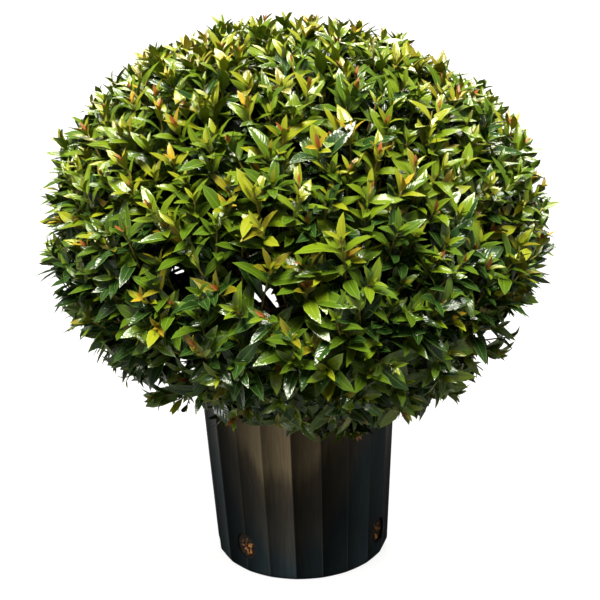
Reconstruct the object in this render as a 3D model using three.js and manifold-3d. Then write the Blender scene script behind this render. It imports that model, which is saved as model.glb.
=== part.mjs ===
// A globe topiary: a clipped evergreen shrub on one short trunk, in a fluted nursery pot.
// Millimetres, +Z up, front towards -Y. The origin is the centre of the pot's flat underside.
import * as THREE from "three";
import { mergeVertices } from "three/addons/utils/BufferGeometryUtils.js";
import Module from "manifold-3d";

const wasm = await Module();
wasm.setup();

// Pot
const POT_HEIGHT = 248;
const POT_TOP_RADIUS = 132.7; // over the flute ridges, at the rim
const POT_FOOT_RADIUS = 119.3; // over the flute ridges, at the floor
const POT_WALL = 2;
const FOOT_ROUND = 11;
const RIM_ROUND = 1;
const FLUTES = 21;
const FLUTE_DEPTH = 2.6;
const FLUTE_FACETS = 3; // from one sharp ridge to the next
const RIDGE_ANGLE = -5; // degrees from the front to the nearest ridge, towards +X
const DRAIN_ANGLES = [-40, 60, 140, 240]; // degrees from the front, towards +X
const DRAIN_WIDTH = 33;
const DRAIN_TOP = 61;
const DRAIN_BOTTOM = 23;

// Soil
const SOIL_DEPTH = 28; // how far it lies below the rim
const SOIL_FALL = 5; // from the trunk to the pot's wall
const SOIL_CROWN = 29; // radius of the level part round the trunk

// Globe: the whole crown, to its furthest leaf tips
const GLOBE_CENTRE = new THREE.Vector3(9.7, 0, 454);
const GLOBE_RADIUS = 325;
const GLOBE_HALF_HEIGHT = 273;
const MASSES_IN_RING = 5;
const RING_POLAR_ANGLE = THREE.MathUtils.radToDeg(Math.atan(2)); // of a dodecahedron's faces
const POT_SPACE = 0.82; // the pot's space under the globe, as a share of a mass's
const CORE_OUTER = 0.83; // shares of the globe's reach
const CORE_INNER = 0.71;
const BOUGH_END = 0.62;
const STEM_END = 0.8;

// Wood
const TRUNK_RADIUS = 13;
const TRUNK_TIP_RADIUS = 9.5;
const TRUNK_HEIGHT = 116;
const ROOT_FLARE = 0.75; // extra share of the radius at ground level
const ROOT_LOBES = 5;
const ROOT_LOBE_DEPTH = 0.3; // share of the flare
const FLARE_DECAY = 9; // how soon the flare runs out up the trunk
const BOUGH_RADIUS = 5.6;
const BOUGH_TIP_RADIUS = 4;
const BOUGH_SWEEP = 70; // how far a bough keeps the way it starts, and the way it ends
const UPPER_FORKS = 0.6; // shares of the trunk's height where a ring's boughs begin to leave it
const LOWER_FORKS = 0.28;
const FORK_STEP = 0.045;
const STEM_TIP_RADIUS = 3;
const TWIG_RADIUS = 4.6;
const TWIG_TIP_RADIUS = 3.8;

// Shoots and leaves
const SHOOTS = 120; // over a whole sphere, the pot's share included
const LOWEST_SHOOT = -0.84; // cosine of the angle from the top
const SHOOT_ROOT = 0.77; // shares of the globe's reach
const SHOOT_TIP = 0.87;
const SHOOT_SWAY = 0.5; // how far a shoot strays from straight outward, mostly upward
const LEAF_PAIRS = [
  { along: 0.72, angle: 68, length: 92 },
  { along: 0.93, angle: 40, length: 66 },
];
const LEAF_ANGLE_SPREAD = 14;
const LEAF_LENGTH_SPREAD = 0.24;
const LEAF_WIDTH = 0.42; // shares of a leaf's length
const LEAF_THICKNESS = 0.05;
const LEAF_FOLD = 0.07;
const LEAF_DROOP = 0.1;
const LEAF_WIDEST = 0.46;
const LEAF_TURNS = [0, 24, -24, 48, -48, 72, -72]; // degrees tried round the shoot
const LEAF_SCALES = [1, 0.92, 0.84, 0.76, 0.68];

const SEAT_GAP = 0.3; // between pieces that touch on the real plant
const SLIVER = 0.02; // the smallest detail that is kept
const MASS_GAP = 1.5; // from a mass to the edge of its own space
const RIM_GAP = 3; // from foliage to the pot
const SEED = 20;

const MATERIALS = {
  pot: { color: 0x1c1a18, roughness: 0.42, metalness: 0 },
  soil: { color: 0x3a2a1e, roughness: 0.95, metalness: 0 },
  bark: { color: 0x6b5540, roughness: 0.85, metalness: 0 },
  foliage: { color: 0x3f6f22, roughness: 0.35, metalness: 0 },
};

const radians = THREE.MathUtils.degToRad;
const UP = new THREE.Vector3(0, 0, 1);
const REACH = new THREE.Vector3(GLOBE_RADIUS, GLOBE_RADIUS, GLOBE_HALF_HEIGHT);

// Solids

/** A closed geometry as a solid that can be joined and cut. */
function solid(geometry) {
  const bare = geometry.clone();
  bare.deleteAttribute("normal");
  bare.deleteAttribute("uv");
  const merged = mergeVertices(bare, 1e-4);
  const triangles = [];
  const index = merged.index.array;
  for (let i = 0; i < index.length; i += 3) {
    const [a, b, c] = index.subarray(i, i + 3);
    if (a !== b && b !== c && c !== a) triangles.push(a, b, c);
  }
  return new wasm.Manifold(
    new wasm.Mesh({
      numProp: 3,
      vertProperties: new Float32Array(merged.attributes.position.array),
      triVerts: new Uint32Array(triangles),
    }),
  );
}

/** Solids joined into one body, with slivers and sealed hollows closed and loose scraps dropped. */
function joined(solids) {
  const bodies = wasm.Manifold.union(solids).simplify(SLIVER).decompose();
  return bodies.reduce((a, b) => (b.volume() > a.volume() ? b : a));
}

/** A joined or cut solid as a geometry. */
function geometryOf(body) {
  const { vertProperties, triVerts } = body.getMesh();
  const geometry = new THREE.BufferGeometry();
  geometry.setAttribute("position", new THREE.BufferAttribute(vertProperties, 3));
  geometry.setIndex(new THREE.BufferAttribute(triVerts, 1));
  geometry.computeVertexNormals();
  return geometry;
}

function piece(name, finish, geometry) {
  const mesh = new THREE.Mesh(geometry, new THREE.MeshStandardMaterial(MATERIALS[finish]));
  mesh.name = name;
  return mesh;
}

/** Repeatable random numbers from 0 to 1. */
function dice(seed) {
  let state = seed;
  return () => {
    state = (state + 0x6d2b79f5) | 0;
    let mixed = Math.imul(state ^ (state >>> 15), 1 | state);
    mixed = (mixed + Math.imul(mixed ^ (mixed >>> 7), 61 | mixed)) ^ mixed;
    return ((mixed ^ (mixed >>> 14)) >>> 0) / 2 ** 32;
  };
}

/** A round solid from a profile of [radius, height] points that starts and ends on the axis. */
function turned(profile, segments) {
  const points = profile.map(([radius, height]) => new THREE.Vector2(radius, height));
  return new THREE.LatheGeometry(points, segments).rotateX(Math.PI / 2);
}

/** A limb along a curve, closed by flat ends. radiusAt takes the share along and the angle round. */
function limb(curve, radiusAt, sides, steps) {
  const shape = new THREE.CylinderGeometry(1, 1, 1, sides, steps).translate(0, 0.5, 0);
  const { normals, binormals } = curve.computeFrenetFrames(steps);
  const places = shape.attributes.position;
  for (let i = 0; i < places.count; i++) {
    const [x, along, z] = [places.getX(i), places.getY(i), places.getZ(i)];
    const step = Math.round(along * steps);
    const radius = radiusAt(along, Math.atan2(z, x));
    const place = curve
      .getPointAt(step / steps)
      .addScaledVector(normals[step], x * radius)
      .addScaledVector(binormals[step], -z * radius);
    places.setXYZ(i, place.x, place.y, place.z);
  }
  return shape;
}

const taper = (from, to) => (along) => THREE.MathUtils.lerp(from, to, along);

// Pot and soil

const potRadius = (z) => THREE.MathUtils.lerp(POT_FOOT_RADIUS, POT_TOP_RADIUS, z / POT_HEIGHT);
const potInside = (z) => potRadius(z) - FLUTE_DEPTH - POT_WALL;

/** Points round the pot's outer foot, from its flat underside to its wall. */
function roundedFoot() {
  const centre = potRadius(FOOT_ROUND) - FOOT_ROUND;
  return [90, 45, 0].map((angle) => [
    centre + FOOT_ROUND * Math.cos(radians(angle)),
    FOOT_ROUND - FOOT_ROUND * Math.sin(radians(angle)),
  ]);
}

/** The pot before its drain holes are cut. Its flutes run from the rounded foot to the plain rim. */
function potBlank() {
  const fluteDepths = [0, 0, 0.6, 1, 1, 1];
  const rim = POT_HEIGHT - RIM_ROUND;
  const profile = [
    [0, 0],
    ...roundedFoot(),
    [potRadius(rim), rim],
    [potRadius(POT_HEIGHT) - RIM_ROUND, POT_HEIGHT],
    [potInside(POT_HEIGHT), POT_HEIGHT],
    [potInside(FOOT_ROUND), FOOT_ROUND],
    [potInside(FOOT_ROUND) + POT_WALL - FOOT_ROUND, POT_WALL],
    [0, POT_WALL],
  ];
  const segments = FLUTES * FLUTE_FACETS;
  const blank = turned(profile, segments).rotateZ(radians(RIDGE_ANGLE));
  const places = blank.attributes.position;
  for (let i = 0; i < places.count; i++) {
    const share = (Math.floor(i / profile.length) % FLUTE_FACETS) / FLUTE_FACETS;
    const depth = FLUTE_DEPTH * Math.sin(Math.PI * share) * (fluteDepths[i % profile.length] ?? 0);
    const radius = Math.hypot(places.getX(i), places.getY(i));
    const kept = radius > 0 ? 1 - depth / radius : 1;
    places.setXY(i, places.getX(i) * kept, places.getY(i) * kept);
  }
  return solid(blank);
}

/** The egg-shaped plug that cuts one drain hole through the wall, at an angle from the front. */
function drainPlug(angle) {
  const half = DRAIN_WIDTH / 2;
  const egg = new THREE.Shape();
  egg.absellipse(0, 0, half, half, Math.PI, 2 * Math.PI);
  egg.absellipse(0, 0, half, DRAIN_TOP - DRAIN_BOTTOM - half, 0, Math.PI);
  const depth = 8 * POT_WALL;
  const plug = new THREE.ExtrudeGeometry(egg, { depth, bevelEnabled: false, curveSegments: 3 });
  const outward = new THREE.Vector3(Math.sin(angle), -Math.cos(angle), 0);
  const aside = new THREE.Vector3().crossVectors(UP, outward);
  const start = potInside(DRAIN_BOTTOM) - depth / 3;
  const place = new THREE.Matrix4()
    .makeBasis(aside, UP, outward)
    .setPosition(outward.clone().multiplyScalar(start).setZ(DRAIN_BOTTOM + half));
  return solid(plug.applyMatrix4(place));
}

function pot() {
  const shell = DRAIN_ANGLES.reduce(
    (left, angle) => left.subtract(drainPlug(radians(angle))),
    potBlank(),
  );
  return piece("pot", "pot", geometryOf(shell));
}

const soilTop = POT_HEIGHT - SOIL_DEPTH;

function soil() {
  const floor = POT_WALL + SEAT_GAP;
  const edge = soilTop - SOIL_FALL;
  const footRadius = potInside(FOOT_ROUND) - SEAT_GAP;
  const profile = [
    [0, floor],
    [footRadius + POT_WALL - FOOT_ROUND, floor],
    [footRadius, FOOT_ROUND + SEAT_GAP],
    [potInside(edge) - SEAT_GAP, edge],
    [SOIL_CROWN, soilTop],
    [0, soilTop],
  ];
  return piece("soil", "soil", turned(profile, 2 * FLUTES));
}

// The globe's inside: the spaces of the masses, and the limbs that carry them

/** The point at a share of the globe's reach along a unit direction. */
function inGlobe(direction, share) {
  return direction.clone().multiply(REACH).multiplyScalar(share).add(GLOBE_CENTRE);
}

const isInReach = (point) => point.clone().sub(GLOBE_CENTRE).divide(REACH).length() <= 1;

/** A unit direction, from its angle from the top and its angle round from the front. */
const polar = (angleFromTop, around) =>
  new THREE.Vector3().setFromSphericalCoords(1, angleFromTop, around).applyAxisAngle(
    new THREE.Vector3(1, 0, 0),
    Math.PI / 2,
  );

const groundPoint = new THREE.Vector3(0, 0, soilTop + SEAT_GAP);
const forkPoint = new THREE.Vector3(GLOBE_CENTRE.x * 0.7, 0, soilTop + SEAT_GAP + TRUNK_HEIGHT);

/**
 * The masses, on the faces of a dodecahedron, each with the place where its bough leaves the trunk.
 * The pot takes the place of the lowest face. Boughs side by side leave at heights well apart.
 */
function massPlaces() {
  const leader = forkPoint.clone().addScaledVector(UP, SEAT_GAP);
  const places = [{ name: "top", direction: UP.clone(), start: leader }];
  const step = 360 / MASSES_IN_RING;
  for (let i = 0; i < MASSES_IN_RING; i++) {
    const rise = FORK_STEP * ((2 * i) % MASSES_IN_RING);
    places.push({
      name: `upper_${i + 1}`,
      direction: polar(radians(RING_POLAR_ANGLE), radians(i * step)),
      start: groundPoint.clone().lerp(forkPoint, UPPER_FORKS + rise),
    });
    places.push({
      name: `lower_${i + 1}`,
      direction: polar(radians(180 - RING_POLAR_ANGLE), radians((i + 0.5) * step)),
      start: groundPoint.clone().lerp(forkPoint, LOWER_FORKS + rise),
    });
  }
  return places;
}

const masses = massPlaces();
const spaceCentres = [
  ...masses.map((mass) => mass.direction),
  UP.clone().multiplyScalar(-POT_SPACE),
];

/** The planes that part a mass's space from its neighbours', as normals in millimetre space. */
function wallsOf(mass) {
  return spaceCentres
    .filter((centre) => centre.distanceTo(mass.direction) > 0.01)
    .map((centre) => mass.direction.clone().sub(centre).divide(REACH).normalize());
}

/** Whether a point lies in the mass's own space, some way off the walls. */
function isWithin(walls, point, clearance) {
  const offset = point.clone().sub(GLOBE_CENTRE);
  return walls.every((wall) => wall.dot(offset) >= clearance);
}

/** Whether a corner of a leaf keeps to its mass's space and the globe's reach, clear of the pot. */
function hasRoom(walls, point) {
  const aboveRim = point.z > POT_HEIGHT + RIM_GAP;
  const outsideRim = Math.hypot(point.x, point.y) > POT_TOP_RADIUS + RIM_GAP;
  return isWithin(walls, point, MASS_GAP) && isInReach(point) && (aboveRim || outsideRim);
}

/** The trunk's own solid, or one a little fatter that boughs are cut with. */
function trunkShape(extra) {
  const rise = UP.clone().multiplyScalar(TRUNK_HEIGHT / 3);
  const curve = new THREE.CubicBezierCurve3(
    groundPoint,
    groundPoint.clone().add(rise),
    forkPoint.clone().sub(rise),
    forkPoint,
  );
  const radiusAt = (along, around) => {
    const lobes = 1 + ROOT_LOBE_DEPTH * Math.cos(ROOT_LOBES * around);
    const flare = ROOT_FLARE * Math.exp(-FLARE_DECAY * along) * lobes;
    return taper(TRUNK_RADIUS, TRUNK_TIP_RADIUS)(along) * (1 + flare) + extra;
  };
  return limb(curve, radiusAt, 15, 8);
}

/** Where a mass's bough ends, and the way its stem goes on. */
function boughEnd(mass) {
  const tip = inGlobe(mass.direction, BOUGH_END);
  return { tip, way: tip.clone().sub(GLOBE_CENTRE).normalize() };
}

/** One bough, from the trunk's side or tip to the mass that it carries. */
function bough(mass) {
  const { tip, way } = boughEnd(mass);
  const outward = mass.direction.clone().setZ(0).normalize();
  const curve = new THREE.CubicBezierCurve3(
    mass.start,
    mass.start.clone().add(outward.add(UP).multiplyScalar(BOUGH_SWEEP)),
    tip.clone().addScaledVector(way, -BOUGH_SWEEP),
    tip,
  );
  const thick = mass.name === "top" ? TRUNK_TIP_RADIUS : BOUGH_RADIUS;
  const whole = solid(limb(curve, taper(thick, BOUGH_TIP_RADIUS), 6, 4));
  const seated = whole.subtract(solid(trunkShape(SEAT_GAP)));
  return piece(`bough_${mass.name}`, "bark", geometryOf(joined([seated])));
}

// Foliage

const core = solid(
  new THREE.IcosahedronGeometry(CORE_OUTER, 3)
    .scale(GLOBE_RADIUS, GLOBE_RADIUS, GLOBE_HALF_HEIGHT)
    .translate(...GLOBE_CENTRE.toArray()),
).subtract(
  solid(
    new THREE.IcosahedronGeometry(CORE_INNER, 2)
      .scale(GLOBE_RADIUS, GLOBE_RADIUS, GLOBE_HALF_HEIGHT)
      .translate(...GLOBE_CENTRE.toArray()),
  ),
);

/** The dense inside of a mass: its own share of a shell. */
function coreOf(walls) {
  return walls.reduce((left, wall) => {
    const offset = wall.dot(GLOBE_CENTRE) + 2 * MASS_GAP;
    return left.trimByPlane(wall.toArray(), offset);
  }, core);
}

/** A straight twig with four flat sides, one of which faces the given way. */
function twig(from, to, radius, tipRadius, side) {
  const length = from.distanceTo(to);
  const way = to.clone().sub(from).normalize();
  const across = new THREE.Vector3().crossVectors(side, way).normalize();
  const squared = new THREE.Vector3().crossVectors(way, across);
  const place = new THREE.Matrix4().makeBasis(squared, way, across).setPosition(from);
  const shape = new THREE.CylinderGeometry(tipRadius, radius, length, 4).rotateY(Math.PI / 4);
  return solid(shape.translate(0, length / 2, 0).applyMatrix4(place));
}

/** One leaf: an octahedron folded along its midrib, with its root at the origin and its tip on +Y. */
function leafShape(length) {
  const shape = new THREE.OctahedronGeometry(1);
  const places = shape.attributes.position;
  for (let i = 0; i < places.count; i++) {
    const [side, along, face] = [places.getX(i), places.getY(i), places.getZ(i)];
    const y = (along === 0 ? LEAF_WIDEST : (along + 1) / 2) * length;
    const edge = Math.abs(side) * LEAF_FOLD - Math.max(along, 0) * LEAF_DROOP;
    const z = (edge + (face * LEAF_THICKNESS) / 2) * length;
    places.setXYZ(i, (side * LEAF_WIDTH * length) / 2, y, z);
  }
  return shape;
}

/** Whether two solids share any room. */
function meet(a, b) {
  const shared = a.intersect(b);
  const apart = shared.isEmpty();
  shared.delete();
  return !apart;
}

/** A leaf placed on a shoot, or nothing where it would leave the mass's space or cut another leaf. */
function leafOn(root, way, aside, angle, length, walls, others) {
  for (const scale of LEAF_SCALES) {
    for (const turn of LEAF_TURNS) {
      const out = aside.clone().applyAxisAngle(way, radians(turn));
      const along = way.clone().multiplyScalar(Math.cos(angle)).addScaledVector(out, Math.sin(angle));
      const face = way.clone().multiplyScalar(Math.sin(angle)).addScaledVector(out, -Math.cos(angle));
      const across = new THREE.Vector3().crossVectors(along, face);
      const place = new THREE.Matrix4().makeBasis(across, along, face).setPosition(root);
      const shape = leafShape(length * scale).applyMatrix4(place);
      const places = shape.attributes.position;
      const corners = Array.from({ length: places.count }, (_, i) =>
        new THREE.Vector3().fromBufferAttribute(places, i),
      );
      if (!corners.every((corner) => hasRoom(walls, corner))) continue;
      const leaf = solid(shape);
      if (!others.some((other) => meet(leaf, other))) return leaf;
    }
  }
  return null;
}

/** The places of all shoots, spread evenly over the globe, as unit directions. */
function shootDirections() {
  const golden = Math.PI * (3 - Math.sqrt(5));
  return Array.from({ length: SHOOTS }, (_, i) => {
    const height = 1 - (2 * i + 1) / SHOOTS;
    return polar(Math.acos(height), i * golden);
  }).filter((direction) => direction.z > LOWEST_SHOOT);
}

const nearestMass = (direction) =>
  masses.reduce((a, b) => (b.direction.dot(direction) > a.direction.dot(direction) ? b : a));

/** The line of a shoot, drawn in towards the middle of its mass until it is clear of the walls. */
function shootLine(direction, mass, walls, sway) {
  for (let drawn = 0; drawn < 1; drawn += 0.05) {
    const place = direction.clone().lerp(mass.direction, drawn).normalize();
    const root = inGlobe(place, SHOOT_ROOT);
    const way = root.clone().sub(GLOBE_CENTRE).normalize().add(sway).normalize();
    const tip = root.clone().addScaledVector(way, inGlobe(place, SHOOT_TIP).distanceTo(root));
    const ends = [root, tip];
    if (ends.every((end) => isWithin(walls, end, MASS_GAP + TWIG_RADIUS))) return { root, way, tip };
  }
  throw new Error(`foliage_${mass.name} has no room for a shoot`);
}

/** A twig from the stem, the shoot that it ends in, and the leaves in crossed pairs on the shoot. */
function shoot(direction, mass, stemPoint, walls, others, random) {
  const stray = new THREE.Vector3(random() - 0.5, random() - 0.5, random() - 0.1);
  const { root, way, tip } = shootLine(direction, mass, walls, stray.multiplyScalar(SHOOT_SWAY));
  const firstSide = new THREE.Vector3()
    .crossVectors(way, Math.abs(way.z) < 0.9 ? UP : new THREE.Vector3(1, 0, 0))
    .normalize()
    .applyAxisAngle(way, random() * Math.PI);
  const below = root.clone().addScaledVector(way, -TWIG_RADIUS);
  const twigs = [
    twig(stemPoint, root, TWIG_RADIUS, TWIG_RADIUS, firstSide),
    twig(below, tip, TWIG_RADIUS, TWIG_TIP_RADIUS, firstSide),
  ];
  const leaves = [];
  LEAF_PAIRS.forEach((pair, k) => {
    const place = root.clone().lerp(tip, pair.along);
    const side = firstSide.clone().applyAxisAngle(way, (k * Math.PI) / 2);
    for (const aside of [side, side.clone().negate()]) {
      const angle = radians(pair.angle + LEAF_ANGLE_SPREAD * (random() - 0.5));
      const long = pair.length * (1 + LEAF_LENGTH_SPREAD * (random() - 0.5));
      const leaf = leafOn(place, way, aside, angle, long, walls, others);
      if (leaf) leaves.push(leaf);
    }
  });
  return { twigs, leaves };
}

/** One mass of foliage: a stem, its twigs and shoots, and the dense core that they stand out of. */
function foliage(mass, number) {
  const random = dice(SEED + number);
  const walls = wallsOf(mass);
  const { tip, way } = boughEnd(mass);
  const stemFoot = tip.clone().addScaledVector(way, SEAT_GAP);
  const stemTip = inGlobe(mass.direction, STEM_END);
  const aside = new THREE.Vector3(1, 0, 0).cross(way);
  const wood = [twig(stemFoot, stemTip, BOUGH_TIP_RADIUS, STEM_TIP_RADIUS, aside)];
  const leaves = [];
  for (const direction of shootDirections()) {
    if (nearestMass(direction) !== mass) continue;
    const grown = shoot(direction, mass, stemTip, walls, leaves, random);
    wood.push(...grown.twigs);
    leaves.push(...grown.leaves);
  }
  const whole = joined([coreOf(walls), ...wood, ...leaves]);
  return piece(`foliage_${mass.name}`, "foliage", geometryOf(whole));
}

const plant = new THREE.Group();
plant.add(pot(), soil(), piece("trunk", "bark", trunkShape(0)));
masses.forEach((mass, number) => plant.add(bough(mass), foliage(mass, number)));

export default plant;
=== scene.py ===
# %% [markdown]
# # A clipped globe in a black nursery pot
# The object is an evergreen shrub, clipped to a globe, that grows on one short trunk in a fluted pot.
# Its solids are packed already, as one body without joints. This lesson loads them as a fixed frame
# and replaces each one, in the same place, by a piece that looks like the real thing.
# All lengths are in metres, +Z is up and -Y is the front.

import math
import random

import bmesh
import bpy
import numpy as np
from mathutils import Matrix, Vector, noise


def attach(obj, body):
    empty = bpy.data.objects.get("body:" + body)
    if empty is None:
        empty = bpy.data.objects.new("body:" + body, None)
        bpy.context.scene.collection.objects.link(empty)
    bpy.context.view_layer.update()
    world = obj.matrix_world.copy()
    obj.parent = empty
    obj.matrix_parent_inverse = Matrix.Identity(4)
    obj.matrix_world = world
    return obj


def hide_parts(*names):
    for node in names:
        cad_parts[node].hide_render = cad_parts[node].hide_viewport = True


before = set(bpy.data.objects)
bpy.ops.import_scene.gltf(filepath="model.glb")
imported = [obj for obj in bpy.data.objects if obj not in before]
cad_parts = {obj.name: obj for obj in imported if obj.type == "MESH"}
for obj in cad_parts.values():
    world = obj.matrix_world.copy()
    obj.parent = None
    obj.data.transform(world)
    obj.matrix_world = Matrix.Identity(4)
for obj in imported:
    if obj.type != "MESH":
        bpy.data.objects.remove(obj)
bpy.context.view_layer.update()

# %% [markdown]
# ## Camera
# The plant was seen from 1.7 m away and from above its own height, so the pot's wall narrows towards
# the floor and the globe hides the pot's rim. The lens and the small roll were worked out from the
# outlines of the pot and the globe. Aiming the camera by hand would also do, but a matrix made of
# its three directions keeps the roll exact.

# %% Camera
UP = Vector((0, 0, 1))
CAMERA_PLACE = Vector((0.0068, -1.630, 0.8843))
CAMERA_AIM = Vector((0.0068, 0, 0.3574))
CAMERA_ROLL = math.radians(-1.887)
CAMERA_LENS = 76.79
SENSOR_WIDTH = 36

camera_ahead = (CAMERA_AIM - CAMERA_PLACE).normalized()
level_right = camera_ahead.cross(UP).normalized()
level_up = level_right.cross(camera_ahead)
camera_right = level_right * math.cos(CAMERA_ROLL) + level_up * math.sin(CAMERA_ROLL)
camera_up = level_up * math.cos(CAMERA_ROLL) - level_right * math.sin(CAMERA_ROLL)

lens = bpy.data.cameras.new("camera")
lens.lens = CAMERA_LENS
lens.sensor_width = SENSOR_WIDTH
camera = bpy.data.objects.new("camera", lens)
camera_turn = Matrix((camera_right, camera_up, -camera_ahead)).transposed().to_4x4()
camera.matrix_world = Matrix.Translation(CAMERA_PLACE) @ camera_turn
bpy.context.scene.collection.objects.link(camera)
bpy.context.scene.camera = camera
print("camera looks down", round(math.degrees(math.asin(-camera_ahead.z)), 1), "degrees")

# %% [markdown]
# ## Sight lines
# A few things on the plant are known by where they appear in the picture, such as the gaps that show
# the sky. Two helpers give the direction in which a point of the 600 by 600 picture is seen, and the
# distance of a place on the plant from that line.

# %% Sight lines
PICTURE_SIZE = 600


def sight_line(across, down):
    """The direction in which the camera sees a point of the picture."""
    distance = PICTURE_SIZE * CAMERA_LENS / SENSOR_WIDTH
    sideways = across - PICTURE_SIZE / 2
    upwards = PICTURE_SIZE / 2 - down
    return (camera_ahead * distance + camera_right * sideways + camera_up * upwards).normalized()


def off_sight_line(place, line):
    """How far a place lies from a sight line."""
    reach = place - CAMERA_PLACE
    return (reach - line * reach.dot(line)).length


middle_line = sight_line(PICTURE_SIZE / 2, PICTURE_SIZE / 2)
print("the picture's middle is seen along", [round(part, 3) for part in middle_line])

# %% [markdown]
# ## Materials and nodes
# Every finish below is a small tree of shader nodes. Three helpers keep the cells short. The first starts
# a material with its plain values on the shader's own sockets, the second adds a node, with values or
# links for its inputs, and the third adds a step of arithmetic.

# %% Materials and nodes


def start_material(name, colour, roughness, specular):
    """A new material and its shader, with plain values on the shader's sockets."""
    material = bpy.data.materials.new(name)
    material.use_nodes = True
    shader = material.node_tree.nodes["Principled BSDF"]
    shader.inputs["Base Color"].default_value = (*colour, 1)
    shader.inputs["Roughness"].default_value = roughness
    shader.inputs["Specular IOR Level"].default_value = specular
    return material, shader


def add_node(material, kind, inputs, **settings):
    """A new node. An input is a plain value or another node's output socket."""
    node = material.node_tree.nodes.new(kind)
    for name, value in settings.items():
        setattr(node, name, value)
    for name, value in inputs.items():
        if isinstance(value, bpy.types.NodeSocket):
            material.node_tree.links.new(value, node.inputs[name])
        else:
            node.inputs[name].default_value = value
    return node


def add_math(material, operation, *values):
    """The result of one calculation. A value is a plain number or another node's output socket."""
    inputs = dict(enumerate(values))
    return add_node(material, "ShaderNodeMath", inputs, operation=operation).outputs["Value"]


print("a material starts from the shader Principled BSDF")

# %% [markdown]
# ## Patterns and relief
# Weathered plastic, bark and leaves all vary over their surface. The same few nodes give that: noise over
# the places of a piece, a ramp or a range that turns it into colours or values, and a relief that
# bends the light without any more faces.

# %% Patterns and relief
NOISE_SPAN = (0.3, 0.7)


def add_ramp(material, factor, stops):
    """A colour ramp through stops of (place, colour)."""
    ramp = add_node(material, "ShaderNodeValToRGB", {"Fac": factor})
    elements = ramp.color_ramp.elements
    while len(elements) < len(stops):
        elements.new(1)
    for element, (place, colour) in zip(elements, stops):
        element.position = place
        element.color = (*colour, 1)
    return ramp.outputs["Color"]


def object_place(material, scale=(1, 1, 1)):
    """Object coordinates, stretched by a scale along each axis."""
    place = add_node(material, "ShaderNodeTexCoord", {})
    mapped = add_node(material, "ShaderNodeMapping", {"Vector": place.outputs["Object"], "Scale": scale})
    return mapped.outputs["Vector"]


def add_noise(material, place, scale, detail):
    """Soft noise over a place, from 0 to 1 and mostly within NOISE_SPAN."""
    inputs = {"Vector": place, "Scale": scale, "Detail": detail}
    return add_node(material, "ShaderNodeTexNoise", inputs).outputs["Fac"]


def add_range(material, value, low, high, to_low, to_high):
    """A value moved from one range to another and held within it."""
    inputs = {"Value": value, "From Min": low, "From Max": high, "To Min": to_low, "To Max": to_high}
    return add_node(material, "ShaderNodeMapRange", inputs).outputs["Result"]


def add_bump(material, shader, height, strength, depth):
    """Relief of a given depth on a shader."""
    inputs = {"Height": height, "Strength": strength, "Distance": depth}
    bump = add_node(material, "ShaderNodeBump", inputs)
    material.node_tree.links.new(bump.outputs["Normal"], shader.inputs["Normal"])


print("most noise lies between", *NOISE_SPAN)

# %% [markdown]
# ## White floor
# The plant stands on a plain white floor that runs far past the picture's edges, a hair below the pot's
# underside. It is grey to the lamps and glows white only where it is looked at. So it stays white, like
# a lit studio sweep, and the inside of the globe keeps its deep shade.

# %% White floor
FLOOR_REACH = 60
FLOOR_DROP = 0.0005
FLOOR_GREY = (0.12, 0.12, 0.12)
FLOOR_GLOW = 0.9
WHITE = (1, 1, 1, 1)

white_floor, floor_shader = start_material("white floor", FLOOR_GREY, roughness=0.9, specular=0.1)
floor_shader.inputs["Emission Color"].default_value = WHITE
floor_seen = add_node(white_floor, "ShaderNodeLightPath", {}).outputs["Is Camera Ray"]
floor_glow = add_math(white_floor, "MULTIPLY", floor_seen, FLOOR_GLOW)
white_floor.node_tree.links.new(floor_glow, floor_shader.inputs["Emission Strength"])
floor_mesh = bmesh.new()
bmesh.ops.create_grid(floor_mesh, x_segments=1, y_segments=1, size=FLOOR_REACH)
bmesh.ops.translate(floor_mesh, verts=floor_mesh.verts, vec=(0, 0, -FLOOR_DROP))
floor_data = bpy.data.meshes.new("floor")
floor_mesh.to_mesh(floor_data)
floor_mesh.free()
floor_data.materials.append(white_floor)
floor = bpy.data.objects.new("floor", floor_data)
bpy.context.scene.collection.objects.link(floor)
print("floor:", 2 * FLOOR_REACH, "m wide")

# %% [markdown]
# ## Lamps
# A broad, slightly warm lamp lights the plant from high in front, and a second one from behind draws the
# edge of the globe. Both are sun lamps with a wide angle, which gives soft shadows and a white sheen on
# the leaves, and which lights the far floor as brightly as the near one. A small panel, low on the left,
# models the flutes of the pot.

# %% Lamps
LAMP_STRENGTH = 10.2
LAMP_ANGLE = math.radians(28)
LAMP_FROM = Vector((-0.04, -0.42, 1.0))
LAMP_COLOUR = (1, 0.98, 0.86)
BACK_LAMP_STRENGTH = 3.8
BACK_LAMP_ANGLE = math.radians(30)
BACK_LAMP_FROM = Vector((0.1, 0.8, 0.62))
PANEL_POWER = 0.3
PANEL_SPREAD = math.radians(36)
PANEL_SIZE = (0.5, 0.3)
PANEL_PLACE = Vector((-1.45, -0.6, 0.16))
PANEL_AIM = Vector((0, 0, 0.1))


def hang_lamp(name, strength, angle, origin):
    """A lamp so far away that it lights everything from one side."""
    lamp_data = bpy.data.lights.new(name, "SUN")
    lamp_data.energy = strength
    lamp_data.color = LAMP_COLOUR
    lamp_data.angle = angle
    lamp = bpy.data.objects.new(name, lamp_data)
    lamp.rotation_euler = origin.to_track_quat("Z", "Y").to_euler()
    bpy.context.scene.collection.objects.link(lamp)


hang_lamp("lamp", LAMP_STRENGTH, LAMP_ANGLE, LAMP_FROM)
hang_lamp("back lamp", BACK_LAMP_STRENGTH, BACK_LAMP_ANGLE, BACK_LAMP_FROM)

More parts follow.
